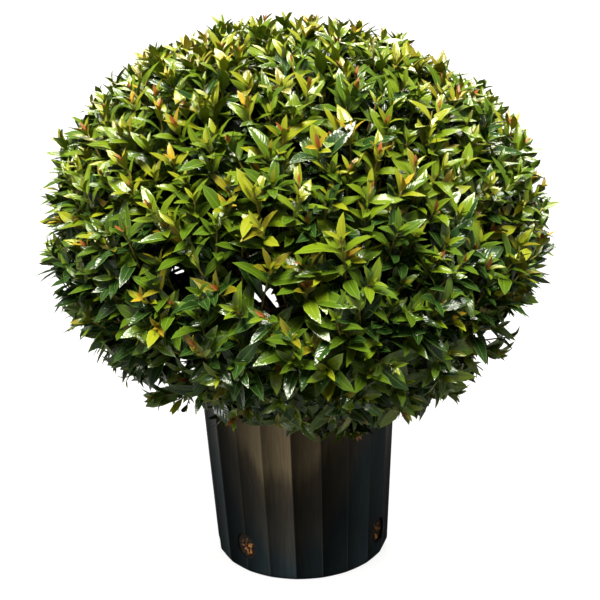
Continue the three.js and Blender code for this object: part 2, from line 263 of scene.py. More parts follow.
panel_data = bpy.data.lights.new("panel", "AREA")
panel_data.energy = PANEL_POWER
panel_data.shape = "RECTANGLE"
panel_data.size, panel_data.size_y = PANEL_SIZE
panel_data.spread = PANEL_SPREAD
panel = bpy.data.objects.new("panel", panel_data)
panel.location = PANEL_PLACE
panel.rotation_euler = (PANEL_PLACE - PANEL_AIM).to_track_quat("Z", "Y").to_euler()
panel.visible_camera = False
bpy.context.scene.collection.objects.link(panel)
print("lamps:", LAMP_STRENGTH, "in front and", BACK_LAMP_STRENGTH, "behind")

# %% [markdown]
# ## Surround
# A little light comes from all around, more from overhead than from the horizon. Where the surround is
# looked at, past the floor's edge, it is plain white. The standard view shows that white as it is, while
# a filmic one would turn it grey.

# %% Surround
OVERHEAD_STRENGTH = 0.45
HORIZON_STRENGTH = 0.08
SURROUND_RISE = (0.1, 0.9)

surround = bpy.data.worlds.new("surround")
surround.use_nodes = True
surround_way = add_node(surround, "ShaderNodeTexCoord", {}).outputs["Generated"]
surround_height = add_node(surround, "ShaderNodeSeparateXYZ", {"Vector": surround_way}).outputs["Z"]
surround_strengths = (HORIZON_STRENGTH, OVERHEAD_STRENGTH)
surround_light = add_range(surround, surround_height, *SURROUND_RISE, *surround_strengths)
looked_at = add_node(surround, "ShaderNodeLightPath", {}).outputs["Is Camera Ray"]
surround_seen = add_math(surround, "MAXIMUM", surround_light, looked_at)
backdrop = surround.node_tree.nodes["Background"]
backdrop.inputs["Color"].default_value = WHITE
surround.node_tree.links.new(surround_seen, backdrop.inputs["Strength"])
bpy.context.scene.world = surround
bpy.context.scene.view_settings.view_transform = "Standard"
print("surround:", HORIZON_STRENGTH, "at the horizon and", OVERHEAD_STRENGTH, "overhead")

# %% [markdown]
# ## From a sketch to a piece
# Each shape is sketched as a bmesh, which the operators work on, and then becomes an object. A finished
# piece rides on the plant's one body, names the solids that it stands for and hides them.

# %% From a sketch to a piece
SHARP_ANGLE = math.radians(40)


def piece_from(name, sketch, material, sharp_angle=SHARP_ANGLE):
    """Turns a sketch into a smoothly shaded object. Edges sharper than an angle stay sharp."""
    mesh = bpy.data.meshes.new(name)
    sketch.to_mesh(mesh)
    sketch.free()
    mesh.materials.append(material)
    mesh.shade_smooth()
    mesh.set_sharp_from_angle(angle=sharp_angle)
    return bpy.data.objects.new(name, mesh)


def dress(piece, slot, *nodes):
    """Puts a finished piece on the plant, in place of the solids that it stands for."""
    bpy.context.scene.collection.objects.link(piece)
    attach(piece, "root")
    if nodes:
        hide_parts(*nodes)


# %% [markdown]
# ## Pot outline
# The pot is blow-moulded plastic: a wall that widens a little towards the top, a rounded foot and a
# plain rim. Half of its outline, taken from the underside's centre up the outside, over the rim and
# down the inside, is enough for a turned shape.

# %% Pot outline
POT_HEIGHT = 0.248
POT_FOOT_RADIUS = 0.1193
POT_TOP_RADIUS = 0.1327
POT_WALL = 0.002
FLUTE_DEPTH = 0.0026
FOOT_ROUND = 0.011
RIM_ROUND = 0.001
RIM_INNER_ROUND = 0.0008
CORNER_STEPS = 6
WALL_ROWS = 18


def between(low, high, share):
    """The value at a share of the way from low to high."""
    return low + (high - low) * share


def pot_radius(height):
    """The radius of the wall's ridges at a height."""
    return between(POT_FOOT_RADIUS, POT_TOP_RADIUS, height / POT_HEIGHT)


def pot_inside(height):
    """The radius of the wall's inside at a height."""
    return pot_radius(height) - FLUTE_DEPTH - POT_WALL


def rounded(centre_radius, centre_height, radius, start, end):
    """Points (radius, height) round an edge, from one angle to another in degrees."""
    points = []
    for step in range(CORNER_STEPS + 1):
        angle = math.radians(between(start, end, step / CORNER_STEPS))
        out = radius * math.cos(angle)
        rise = radius * math.sin(angle)
        points.append((centre_radius + out, centre_height + rise))
    return points


rim_foot = POT_HEIGHT - RIM_ROUND
mouth = pot_inside(POT_HEIGHT)
foot_centre = pot_radius(FOOT_ROUND) - FOOT_ROUND
wall_heights = [between(FOOT_ROUND, rim_foot, (row + 1) / WALL_ROWS) for row in range(WALL_ROWS)]
pot_outline = [(0, 0)]
pot_outline += rounded(foot_centre, FOOT_ROUND, FOOT_ROUND, -90, 0)
pot_outline += [(pot_radius(height), height) for height in wall_heights]
pot_outline += rounded(pot_radius(rim_foot) - RIM_ROUND, rim_foot, RIM_ROUND, 0, 90)
pot_outline += rounded(mouth + RIM_INNER_ROUND, POT_HEIGHT - RIM_INNER_ROUND, RIM_INNER_ROUND, 90, 180)
pot_outline += [(pot_inside(FOOT_ROUND), FOOT_ROUND)]
pot_outline += [(pot_inside(FOOT_ROUND) + POT_WALL - FOOT_ROUND, POT_WALL), (0, POT_WALL)]
print("pot outline:", len(pot_outline), "points")

# %% [markdown]
# ## Turning the pot
# Spinning the outline makes the whole shell at once. The axis then holds many points in one place, so
# they are merged, and the faces are turned outwards again.

# %% Turn the pot
FLUTES = 21
FACETS_IN_FLUTE = 12
RIDGE_ANGLE = math.radians(-5)
MERGE_DISTANCE = 1e-6


def level_way(around):
    """The level direction at an angle from the front, towards +X."""
    return Vector((math.sin(around), -math.cos(around), 0))


def turned(outline, start, steps):
    """A sketch of an outline of (radius, height) spun round the axis."""
    sketch = bmesh.new()
    verts = [sketch.verts.new(level_way(start) * radius + UP * height) for radius, height in outline]
    edges = [sketch.edges.new(pair) for pair in zip(verts, verts[1:])]
    full_turn = {"angle": math.tau, "steps": steps, "use_merge": True}
    bmesh.ops.spin(sketch, geom=verts + edges, cent=(0, 0, 0), axis=UP, dvec=(0, 0, 0), **full_turn)
    bmesh.ops.remove_doubles(sketch, verts=sketch.verts, dist=MERGE_DISTANCE)
    bmesh.ops.recalc_face_normals(sketch, faces=sketch.faces)
    return sketch


pot_sketch = turned(pot_outline, RIDGE_ANGLE, FLUTES * FACETS_IN_FLUTE)
print("turned pot:", len(pot_sketch.faces), "faces")

# %% [markdown]
# ## Flutes
# Twenty-one ridges run up the wall, with a shallow hollow between each two. The points of the wall move
# in by the depth of the hollow at their angle. The hollows reach the rim and run out round the foot, so
# its edge is faintly scalloped.

# %% Flutes
FLUTE_RUN_OUT = 0.012
FLUTE_FULLNESS = 0.75
OUTER_SKIN = 0.0014


def outer_radius(height):
    """The radius of the pot's outside before it is fluted."""
    below = max(FOOT_ROUND - height, 0)
    round_off = FOOT_ROUND - math.sqrt(FOOT_ROUND**2 - below**2)
    return pot_radius(max(height, FOOT_ROUND)) - round_off


def flute_depth(place):
    """How far the wall lies in from the ridges at a place."""
    around = math.atan2(place.x, -place.y)
    share = (around - RIDGE_ANGLE) / math.tau * FLUTES % 1
    fade = min(max(place.z / FLUTE_RUN_OUT, 0), 1)
    return FLUTE_DEPTH * fade * math.sin(math.pi * share) ** FLUTE_FULLNESS


fluted_points = 0
for vert in pot_sketch.verts:
    if abs(vert.co.xy.length - outer_radius(vert.co.z)) < OUTER_SKIN:
        vert.co -= vert.co.xy.normalized().to_3d() * flute_depth(vert.co)
        fluted_points += 1
print("fluted points:", fluted_points)

# %% [markdown]
# ## Pot finish
# The plastic is black with a soft sheen. Its upper front is painted a warm brown, as a painted
# reflection, and the colour turns blue-black towards the foot and the back. A dot product measures how
# far a place lies towards the upper front, and streaks that run down the wall break up the painted
# reflection.
# Painting it by hand would need a picture, while these nodes need only the place on the pot.

# %% Pot finish
PLASTIC_BLACK = (0.010, 0.0095, 0.009)
STREAK_STRETCH = (90, 90, 3)
PAINTED_REFLECTION_SIDE = (-3.6, -22.1, 6.5)
STREAK_SHARE = 0.5
PAINTED_REFLECTION_RANGE = (3.05, 4.22)
PAINTED_REFLECTION_STOPS = (
    (0, (0.0122, 0.0184, 0.0220)),
    (0.32, (0.0285, 0.0268, 0.0230)),
    (0.58, (0.0345, 0.0300, 0.0240)),
    (0.76, (0.0500, 0.0405, 0.0275)),
    (0.95, (0.1260, 0.0960, 0.0570)),
)

black_plastic, pot_shader = start_material(
    "black moulded plastic",
    PLASTIC_BLACK,
    roughness=0.36,
    specular=0.03,
)
pot_place = object_place(black_plastic)
streak_place = object_place(black_plastic, STREAK_STRETCH)
streaks = add_noise(black_plastic, streak_place, scale=1, detail=3)
# Painted reflection: warm brown on the upper front, blue-black towards the foot and the back.
reflection_facing = add_node(
    black_plastic,
    "ShaderNodeVectorMath",
    {0: pot_place, 1: PAINTED_REFLECTION_SIDE},
    operation="DOT_PRODUCT",
).outputs["Value"]
painted_reflection = add_math(black_plastic, "MULTIPLY_ADD", streaks, STREAK_SHARE, reflection_facing)
painted_reflection_share = add_range(black_plastic, painted_reflection, *PAINTED_REFLECTION_RANGE, 0, 1)
painted_reflection_colour = add_ramp(black_plastic, painted_reflection_share, PAINTED_REFLECTION_STOPS)
print("pot finish starts with", len(black_plastic.node_tree.nodes), "nodes")

# %% [markdown]
# ## Painted flute shading
# Each flute is painted with shade: one side of it is painted lighter and the other darker, as if lit
# from one side. Its ridges are painted pale, partly as rubbed wear and partly as painted highlights. Some
# flutes are painted lighter than others, as painted reflection, and fine hair lines run down all of them.
# A radial gradient, counted up once for each flute, gives the flute's number and the share of the way
# from one ridge to the next. The mould's grain is a fine relief, and scuffs vary the gloss.

# %% Painted flute shading
PAINTED_SHADE_TONE = 0.42
PAINTED_LIGHT_TONE = 1.6
PAINTED_FLUTE_REFLECTION = (0.42, 1.46)
HAIR_LINES = 4.5
HAIR_LINE_TONES = (0.86, 1.14)
FLUTE_TONE_STEP = 6 * math.tau / FLUTES
FLUTE_TONE_START = FLUTE_TONE_STEP + math.radians(22)
RUBBED_HIGHLIGHT_WIDTH = 0.035
RUBBED_HIGHLIGHT_SHARE = 0.5
RUBBED_HIGHLIGHT_COLOUR = (0.052, 0.050, 0.046, 1)
SCUFF_ROUGHNESS = (0.3, 0.44)

first_ridge = -FLUTES * (RIDGE_ANGLE / math.tau + 0.25)
radial = add_node(black_plastic, "ShaderNodeTexGradient", {"Vector": pot_place}, gradient_type="RADIAL")
flute_count = add_math(black_plastic, "MULTIPLY_ADD", radial.outputs["Fac"], FLUTES, first_ridge)
across_flute = add_math(black_plastic, "FRACT", flute_count)
# Painted shade: each flute is painted darker on one side and lighter on the other, as if lit from one
# side.
painted_flute_shading = add_range(black_plastic, across_flute, 0, 1, PAINTED_SHADE_TONE, PAINTED_LIGHT_TONE)
# Painted reflection: some flutes are painted lighter than others, by a cosine over the flute's number.
flute_number = add_math(black_plastic, "FLOOR", flute_count)
flute_step = add_math(black_plastic, "MULTIPLY_ADD", flute_number, FLUTE_TONE_STEP, FLUTE_TONE_START)
flute_wave = add_math(black_plastic, "COSINE", flute_step)
flute_reflection_tone = add_range(black_plastic, flute_wave, -1, 1, *PAINTED_FLUTE_REFLECTION)
hair_lines = add_noise(black_plastic, streak_place, scale=HAIR_LINES, detail=2)
hair_tone = add_range(black_plastic, hair_lines, *NOISE_SPAN, *HAIR_LINE_TONES)
painted_flute_light = add_math(black_plastic, "MULTIPLY", painted_flute_shading, flute_reflection_tone)
light_and_hair_tone = add_math(black_plastic, "MULTIPLY", painted_flute_light, hair_tone)
painted_light_and_lines = add_node(
    black_plastic,
    "ShaderNodeVectorMath",
    {0: painted_reflection_colour, "Scale": light_and_hair_tone},
    operation="SCALE",
)
# Pale ridge lines, partly rubbed wear and partly painted highlights.
off_ridge = add_math(black_plastic, "PINGPONG", flute_count, 0.5)
rubbed_highlight = add_range(black_plastic, off_ridge, 0, RUBBED_HIGHLIGHT_WIDTH, RUBBED_HIGHLIGHT_SHARE, 0)
pot_tones = add_node(
    black_plastic,
    "ShaderNodeMix",
    {"Factor": rubbed_highlight, 6: painted_light_and_lines.outputs["Vector"], 7: RUBBED_HIGHLIGHT_COLOUR},
    data_type="RGBA",
)
scuffs = add_noise(black_plastic, streak_place, scale=3, detail=6)
pot_roughness = add_range(black_plastic, scuffs, *NOISE_SPAN, *SCUFF_ROUGHNESS)
mould_grain = add_noise(black_plastic, pot_place, scale=1400, detail=2)
black_plastic.node_tree.links.new(pot_tones.outputs[2], pot_shader.inputs["Base Color"])
black_plastic.node_tree.links.new(pot_roughness, pot_shader.inputs["Roughness"])
add_bump(black_plastic, pot_shader, mould_grain, strength=0.12, depth=0.0003)
print("pot finish ends with", len(black_plastic.node_tree.nodes), "nodes")

# %% [markdown]
# ## Drain plugs
# Four egg-shaped holes go through the wall near the foot. Each is cut by a plug of its shape: a circle
# with its upper half stretched to an egg, pushed out to a solid and turned to the hole's angle. All four
# plugs are made in one sketch.

# %% Drain plugs
DRAIN_ANGLES = [math.radians(degrees) for degrees in (-40, 60, 140, 240)]
DRAIN_WIDTH = 0.033
DRAIN_TOP = 0.061
DRAIN_BOTTOM = 0.023
DRAIN_STEPS = 32
PLUG_DEPTH = 0.03

drain_centre = DRAIN_BOTTOM + DRAIN_WIDTH / 2
upper_stretch = (DRAIN_TOP - drain_centre) / (DRAIN_WIDTH / 2)


def drain_turn(around, radius):
    """Places a flat sketch upright against the wall, its X level and its Z outwards."""
    outward = level_way(around)
    turn = Matrix((UP.cross(outward), UP, outward)).transposed().to_4x4()
    return Matrix.Translation(outward * radius + UP * drain_centre) @ turn


plug_sketch = bmesh.new()
drain_round = {"cap_ends": True, "segments": DRAIN_STEPS, "radius": DRAIN_WIDTH / 2}
for angle in DRAIN_ANGLES:
    egg = bmesh.ops.create_circle(plug_sketch, **drain_round)
    for vert in egg["verts"]:
        if vert.co.y > 0:
            vert.co.y *= upper_stretch
    face = egg["verts"][0].link_faces[0]
    pushed = bmesh.ops.extrude_face_region(plug_sketch, geom=[face])["geom"]
    pushed_verts = [part for part in pushed if isinstance(part, bmesh.types.BMVert)]
    bmesh.ops.translate(plug_sketch, verts=pushed_verts, vec=(0, 0, PLUG_DEPTH))
    inner_radius = pot_inside(drain_centre) - PLUG_DEPTH / 2
    plug_verts = egg["verts"] + pushed_verts
    bmesh.ops.transform(plug_sketch, matrix=drain_turn(angle, inner_radius), verts=plug_verts)
bmesh.ops.recalc_face_normals(plug_sketch, faces=plug_sketch.faces)
plugs = piece_from("drain_plugs", plug_sketch, black_plastic)
bpy.context.scene.collection.objects.link(plugs)
print("drain plugs:", len(plugs.data.polygons), "faces")

# %% [markdown]
# ## Punching the holes
# On the real pot the holes are punched after moulding. Here a Boolean cuts them all at once, and a Bevel
# modifier breaks the cut edges, which catch the light. The outcome is kept as a plain mesh, so the blank
# and the plugs can go.

# %% Punch the holes
CUT_ROUND = 0.0005
CUT_STEPS = 2
CUT_ANGLE = math.radians(55)

blank = piece_from("pot_blank", pot_sketch, black_plastic)
bpy.context.scene.collection.objects.link(blank)
punch = blank.modifiers.new("punch", "BOOLEAN")
punch.object = plugs
punch.operation = "DIFFERENCE"
punch.solver = "EXACT"
broken_edges = blank.modifiers.new("broken edges", "BEVEL")
broken_edges.width = CUT_ROUND
broken_edges.segments = CUT_STEPS
broken_edges.profile = 0.5
broken_edges.limit_method = "ANGLE"
broken_edges.angle_limit = CUT_ANGLE
blank_now = blank.evaluated_get(bpy.context.evaluated_depsgraph_get())
pot_mesh = bpy.data.meshes.new_from_object(blank_now)
pot_mesh.name = "pot_shell"
pot_mesh.shade_smooth()
pot_mesh.set_sharp_from_angle(angle=SHARP_ANGLE)
bpy.data.objects.remove(blank)
bpy.data.objects.remove(plugs)
pot_shell = bpy.data.objects.new("pot_shell", pot_mesh)
dress(pot_shell, "pot", "pot")
print("pot shell:", len(pot_mesh.polygons), "faces")

# %% [markdown]
# ## Potting mix
# The pot is filled with a dark mix of composted bark to a little below its rim. Its top crowns towards
# the trunk and is lumpy. It is turned like the pot, and the points of its top are moved by noise.

# %% Potting mix
SOIL_TOP = 0.2203
SOIL_FALL = 0.005
SOIL_CROWN = 0.029
SOIL_FLAT_EDGE = 0.002
SEAT_GAP = 0.0003
SOIL_LUMPS = 0.0016
SOIL_GRAIN = 140
SOIL_STEPS = 96
SOIL_ROWS = 16
MIX_BROWN = (0.03, 0.018, 0.01)
MIX_STOPS = (
    (0.32, (0.004, 0.0025, 0.0016)),
    (0.52, (0.014, 0.008, 0.0045)),
    (0.74, (0.075, 0.038, 0.017)),
)

soil_edge = SOIL_TOP - SEAT_GAP - SOIL_FALL
soil_floor = POT_WALL + SEAT_GAP
soil_foot = pot_inside(FOOT_ROUND) + POT_WALL - FOOT_ROUND - SEAT_GAP
soil_outline = [(0, soil_floor), (soil_foot, soil_floor)]
soil_outline += [(pot_inside(FOOT_ROUND) - SEAT_GAP, FOOT_ROUND + SEAT_GAP)]
soil_outline += [(pot_inside(soil_edge) - SEAT_GAP, soil_edge)]
for row in range(1, SOIL_ROWS):
    radius = between(pot_inside(soil_edge) - SEAT_GAP, SOIL_CROWN, row / SOIL_ROWS)
    soil_outline.append((radius, between(soil_edge, SOIL_TOP - SEAT_GAP, row / SOIL_ROWS)))
soil_outline += [(SOIL_CROWN, SOIL_TOP - SEAT_GAP), (0, SOIL_TOP - SEAT_GAP)]

soil_sketch = turned(soil_outline, 0, SOIL_STEPS)
lumps_end = pot_inside(soil_edge) - SOIL_FLAT_EDGE
for vert in soil_sketch.verts:
    if vert.co.z > soil_edge - MERGE_DISTANCE and SOIL_CROWN < vert.co.xy.length < lumps_end:
        vert.co.z += SOIL_LUMPS * noise.noise(vert.co * SOIL_GRAIN)

dark_mix, mix_shader = start_material("moist bark mix", MIX_BROWN, roughness=0.85, specular=0.3)
mix_crumbs = add_noise(dark_mix, object_place(dark_mix), scale=320, detail=6)
mix_colour = add_ramp(dark_mix, mix_crumbs, MIX_STOPS)
dark_mix.node_tree.links.new(mix_colour, mix_shader.inputs["Base Color"])
add_bump(dark_mix, mix_shader, mix_crumbs, strength=0.8, depth=0.002)
potting_mix = piece_from("potting_mix", soil_sketch, dark_mix)
dress(potting_mix, "soil", "soil")
print("potting mix:", len(potting_mix.data.polygons), "faces")

# %% [markdown]
# ## Many copies in one mesh
# Bark chips, twigs and leaves come by the hundred. Each kind is sketched once, with few faces, and its
# copies are joined into one mesh. Object instances would also do, but one mesh per kind keeps the
# object count low. A shape is kept as arrays, and so are the places of its copies.

# %% Many copies in one mesh


class Shape:
    """A small sketch as arrays: its points, its faces' corners, their places on a flat map and slots."""

    def __init__(self, sketch):
        flat_map = sketch.loops.layers.uv.verify()
        sketch.verts.index_update()
        loops = [loop for face in sketch.faces for loop in face.loops]
        self.points = np.array([vert.co for vert in sketch.verts])
        self.corners = np.array([loop.vert.index for loop in loops])
        self.flat = np.array([loop[flat_map].uv for loop in loops])
        self.sizes = np.array([len(face.loops) for face in sketch.faces])
        self.slots = np.array([face.material_index for face in sketch.faces])
        sketch.free()


def join_copies(name, groups, materials):
    """One object from groups of (shape, points of each copy, first material slot of each copy)."""
    points, corners, flat, sizes, slots = [], [], [], [], []
    first_point = 0
    for shape, copies, first_slots in groups:
        starts = first_point + np.arange(len(copies)) * len(shape.points)
        points.append(copies.reshape(-1, 3))
        corners.append((starts[:, None] + shape.corners).ravel())
        flat.append(np.tile(shape.flat, (len(copies), 1)))
        sizes.append(np.tile(shape.sizes, len(copies)))
        slots.append((np.asarray(first_slots)[:, None] + shape.slots).ravel())
        first_point += len(copies) * len(shape.points)
    sizes = np.concatenate(sizes)
    mesh = bpy.data.meshes.new(name)
    mesh.vertices.add(first_point)
    mesh.vertices.foreach_set("co", np.concatenate(points).ravel())
    mesh.loops.add(int(sizes.sum()))
    mesh.loops.foreach_set("vertex_index", np.concatenate(corners))
    mesh.polygons.add(len(sizes))
    mesh.polygons.foreach_set("loop_start", np.cumsum(sizes) - sizes)
    mesh.polygons.foreach_set("material_index", np.concatenate(slots))
    mesh.update(calc_edges=True)
    mesh.uv_layers.new(name="flat")
    mesh.uv_layers["flat"].data.foreach_set("uv", np.concatenate(flat).ravel())
    for material in materials:
        mesh.materials.append(material)
    mesh.shade_smooth()
    return bpy.data.objects.new(name, mesh)


def placed(shape, matrices):
    """The points of a shape's copies, one copy for each matrix."""
    matrices = np.array([np.array(matrix) for matrix in matrices])
    turned_points = np.einsum("kij,nj->kni", matrices[:, :3, :3], shape.points)
    return turned_points + matrices[:, None, :3, 3]


print("a shape is kept as points, corners, sizes and slots")

# %% [markdown]
# ## One bark chip
# The mix is covered with loose chips of bark, flat splinters of one or two centimetres. One chip is a
# cube with broken edges, pressed flat and pinched at one end. It is enough for all of them, because
# its copies differ in size and turn, and the noise in its finish tints each copy by its place.

# %% One bark chip
CHIP_WIDTH = 0.5
CHIP_THICKNESS = 0.24
CHIP_NARROW_END = 0.62
CHIP_BROKEN_EDGE = 0.14
CHIP_BROWN = (0.11, 0.05, 0.02)
CHIP_STOPS = ((0.35, (0.040, 0.020, 0.010)), (0.5, (0.22, 0.085, 0.026)), (0.66, (0.56, 0.230, 0.055)))

chip_sketch = bmesh.new()
bmesh.ops.create_cube(chip_sketch, size=1)
chip_edges = list(chip_sketch.edges)
bevel_way = {"offset": CHIP_BROKEN_EDGE, "affect": "EDGES", "segments": 1, "profile": 0.5, "material": -1}
bmesh.ops.bevel(chip_sketch, geom=chip_edges, **bevel_way)
for vert in chip_sketch.verts:
    pinch = between(CHIP_NARROW_END, 1, 0.5 - vert.co.x)
    vert.co.y *= CHIP_WIDTH * pinch
    vert.co.z *= CHIP_THICKNESS * pinch
chip = Shape(chip_sketch)

chip_bark, chip_shader = start_material("bark chip", CHIP_BROWN, roughness=0.75, specular=0.3)
chip_place = object_place(chip_bark)
chip_tones = add_noise(chip_bark, chip_place, scale=75, detail=3)
chip_colour = add_ramp(chip_bark, chip_tones, CHIP_STOPS)
chip_bark.node_tree.links.new(chip_colour, chip_shader.inputs["Base Color"])
chip_fibres = add_noise(chip_bark, chip_place, scale=900, detail=4)
add_bump(chip_bark, chip_shader, chip_fibres, strength=0.6, depth=0.0006)
print("chip:", len(chip.sizes), "faces")

# %% [markdown]
# ## Bark chips
# The chips lie all over the mix, and some show in the drain holes. Their places, sizes and turns are
# drawn at random, but the seed makes them lie the same way each time.

# %% Bark chips
CHIPS = 420
CHIP_LENGTH = (0.007, 0.018)
CHIP_TILT = 0.35
CHIP_LIFT = 0.0012
CHIPS_FROM = 0.026
CHIPS_TO = 0.114
CHIPS_IN_HOLE = 13
HOLE_CHIP_LENGTH = (0.005, 0.009)
HOLE_CHIP_DEPTH = (-0.002, 0.0005)
HOLE_CHIP_ASIDE = (-0.007, 0.007)
HOLE_CHIP_RISE = (-0.008, 0.012)
HOLE_CHIP_TILT = 0.3
chip_chance = random.Random(45)


def chip_turn(chance, tilt):
    """A chip lying at random, tilted by some angle at most."""
    heading = Matrix.Rotation(chance.uniform(0, math.tau), 4, "Z")
    return heading @ Matrix.Rotation(chance.uniform(-tilt, tilt), 4, "X")


chip_matrices = []
for _ in range(CHIPS):
    radius = math.sqrt(chip_chance.uniform(CHIPS_FROM**2, CHIPS_TO**2))
    share = (pot_inside(soil_edge) - radius) / (pot_inside(soil_edge) - SOIL_CROWN)
    height = between(soil_edge, SOIL_TOP, min(share, 1)) + CHIP_LIFT
    place = level_way(chip_chance.uniform(0, math.tau)) * radius + UP * height
    size = Matrix.Scale(chip_chance.uniform(*CHIP_LENGTH), 4)
    chip_matrices.append(Matrix.Translation(place) @ chip_turn(chip_chance, CHIP_TILT) @ size)

for angle in DRAIN_ANGLES:
    for _ in range(CHIPS_IN_HOLE):
        depth = pot_inside(drain_centre) + chip_chance.uniform(*HOLE_CHIP_DEPTH)
        aside = Vector((chip_chance.uniform(*HOLE_CHIP_ASIDE), chip_chance.uniform(*HOLE_CHIP_RISE), 0))
        size = Matrix.Scale(chip_chance.uniform(*HOLE_CHIP_LENGTH), 4)
        turn = chip_turn(chip_chance, HOLE_CHIP_TILT)
        chip_matrices.append(drain_turn(angle, depth) @ Matrix.Translation(aside) @ turn @ size)

chip_group = (chip, placed(chip, chip_matrices), np.zeros(len(chip_matrices), int))
chips = join_copies("bark_chips", [chip_group], [chip_bark])
dress(chips, "soil")
print("bark chips:", len(chip_matrices))

# %% [markdown]
# ## Bark finish
# The trunk and boughs have finely cracked grey-brown bark. The cracks run along the limb, so noise is
# stretched upwards, and one stretched noise drives the colour, the roughness and the relief.

# %% Bark finish
BARK_STRETCH = (1, 1, 0.28)
BARK_PATCH_SHARE = 0.4
BARK_ROUGHNESS = (0.95, 0.7)


def bark_finish(name, crack, bark, crest):
    """Cracked bark from the colour of its cracks to the colour of its crests."""
    material, shader = start_material(name, bark, roughness=0.8, specular=0.3)
    place = object_place(material, BARK_STRETCH)
    cracks = add_noise(material, place, scale=420, detail=6)
    patches = add_noise(material, place, scale=60, detail=3)
    mixed = add_math(material, "MULTIPLY_ADD", patches, BARK_PATCH_SHARE, cracks)
    colour = add_ramp(material, mixed, [(0.45, crack), (0.68, bark), (0.88, crest)])
    roughness = add_range(material, cracks, *NOISE_SPAN, *BARK_ROUGHNESS)
    material.node_tree.links.new(colour, shader.inputs["Base Color"])
    material.node_tree.links.new(roughness, shader.inputs["Roughness"])
    add_bump(material, shader, cracks, strength=0.7, depth=0.0012)
    return material


old_bark = bark_finish("cracked bark", (0.018, 0.011, 0.007), (0.10, 0.066, 0.040), (0.23, 0.175, 0.12))
twig_bark = bark_finish("twig bark", (0.010, 0.006, 0.004), (0.045, 0.026, 0.014), (0.12, 0.075, 0.035))
print("bark finishes:", old_bark.name, "and", twig_bark.name)

# %% [markdown]
# ## The plan of the plant
# The plant grows by one rule. A trunk rises from the mix to a fork, eleven boughs leave it, and each
# bough carries one mass of foliage, which fills the space of one face of a dodecahedron. The pot takes
# the place of the twelfth face. This cell lays out the globe, the masses and where their boughs start.

# %% The plan of the plant
GLOBE_CENTRE = Vector((0.0097, 0, 0.454))
GLOBE_REACH = Vector((0.325, 0.325, 0.273))
MASSES_IN_RING = 5
RING_POLAR_ANGLE = math.atan(2)
TRUNK_HEIGHT = 0.116
GROUND = Vector((0, 0, SOIL_TOP))
FORK = Vector((0.0068, 0, SOIL_TOP + TRUNK_HEIGHT))
UPPER_FORKS = 0.6
LOWER_FORKS = 0.28
FORK_STEP = 0.045


def towards(polar, around):
    """The direction at an angle from straight up and an angle from the front, towards +X."""
    return level_way(around) * math.sin(polar) + UP * math.cos(polar)


def in_globe(direction, share):
    """The place at a share of the globe's reach in a direction from its centre."""
    return GLOBE_CENTRE + direction * GLOBE_REACH * share


def globe_share(place):
    """The share of the globe's reach at which a place lies."""
    away = place - GLOBE_CENTRE
    return Vector((away.x / GLOBE_REACH.x, away.y / GLOBE_REACH.y, away.z / GLOBE_REACH.z)).length


masses = [("top", UP, FORK)]
for ring, polar, turn, first_fork in (
    ("upper", RING_POLAR_ANGLE, 0, UPPER_FORKS),
    ("lower", math.pi - RING_POLAR_ANGLE, 0.5, LOWER_FORKS),
):
    for number in range(MASSES_IN_RING):
        heart = towards(polar, (number + turn) * math.tau / MASSES_IN_RING)
        fork_share = first_fork + FORK_STEP * (2 * number % MASSES_IN_RING)
        masses.append((f"{ring}_{number + 1}", heart, GROUND.lerp(FORK, fork_share)))
print("masses:", [name for name, heart, start in masses])

# %% [markdown]
# ## Limbs
# The trunk and the boughs are limbs. A limb is a cylinder that is cut into rings and bent along a smooth
# curve of four points, so that it can sweep up and out as a real one does. Noise moves the skin in and
# out, because real bark isn't round, and the finish adds the fine cracks.

# %% Limbs
BARK_RELIEF = 0.09
BARK_GRAIN = Vector((160, 160, 45))
BARK_GRAIN_REACH = 0.02
LOOK_AHEAD = 0.01
LIMB_SHARP_ANGLE = math.radians(60)


def along(line, share):
    """The point at a share of the way along a curve of four points."""
    start, start_pull, end_pull, end = line
    rest = 1 - share
    near_start = start * rest**3 + start_pull * (3 * rest**2 * share)
    return near_start + end_pull * (3 * rest * share**2) + end * share**3


def cut_cylinder(sides, cuts):
    """The sketch of a cylinder of unit radius and height on the ground, cut into rings."""
    sketch = bmesh.new()
    bmesh.ops.create_cone(sketch, cap_ends=True, segments=sides, radius1=1, radius2=1, depth=1)
    long_edges = [edge for edge in sketch.edges if abs(edge.verts[0].co.z - edge.verts[1].co.z) > 0.5]
    bmesh.ops.subdivide_edges(sketch, edges=long_edges, cuts=cuts, use_grid_fill=True)
    bmesh.ops.translate(sketch, verts=sketch.verts, vec=(0, 0, 0.5))
    return sketch


def limb(name, line, across, radius_at, sides, cuts):
    """A bent limb. The curve lies in the plane square to a direction across it."""
    sketch = cut_cylinder(sides, cuts)
    for vert in sketch.verts:
        share = vert.co.z
        around = math.atan2(vert.co.y, vert.co.x)
        ahead = along(line, min(share + LOOK_AHEAD, 1)) - along(line, max(share - LOOK_AHEAD, 0))
        side = across.cross(ahead).normalized()
        outward = side * vert.co.x + across * vert.co.y
        place = along(line, share)
        rough = 1 + BARK_RELIEF * noise.noise((place + outward * BARK_GRAIN_REACH) * BARK_GRAIN)
        vert.co = place + outward * radius_at(share, around) * rough
    for vert in sketch.verts:
        vert.co.z = max(vert.co.z, GROUND.z)
    bmesh.ops.recalc_face_normals(sketch, faces=sketch.faces)
    return piece_from(name, sketch, old_bark, LIMB_SHARP_ANGLE)


print("a limb's skin moves by up to", BARK_RELIEF, "of its radius")

# %% [markdown]
# ## Trunk
# The trunk is short and woody, and the globe hides most of it. It tapers, leans a little and flares into
# five root lobes at the mix, where it ends in a flat cut. A rule for its radius gives all of that, by
# the height and the angle around it.

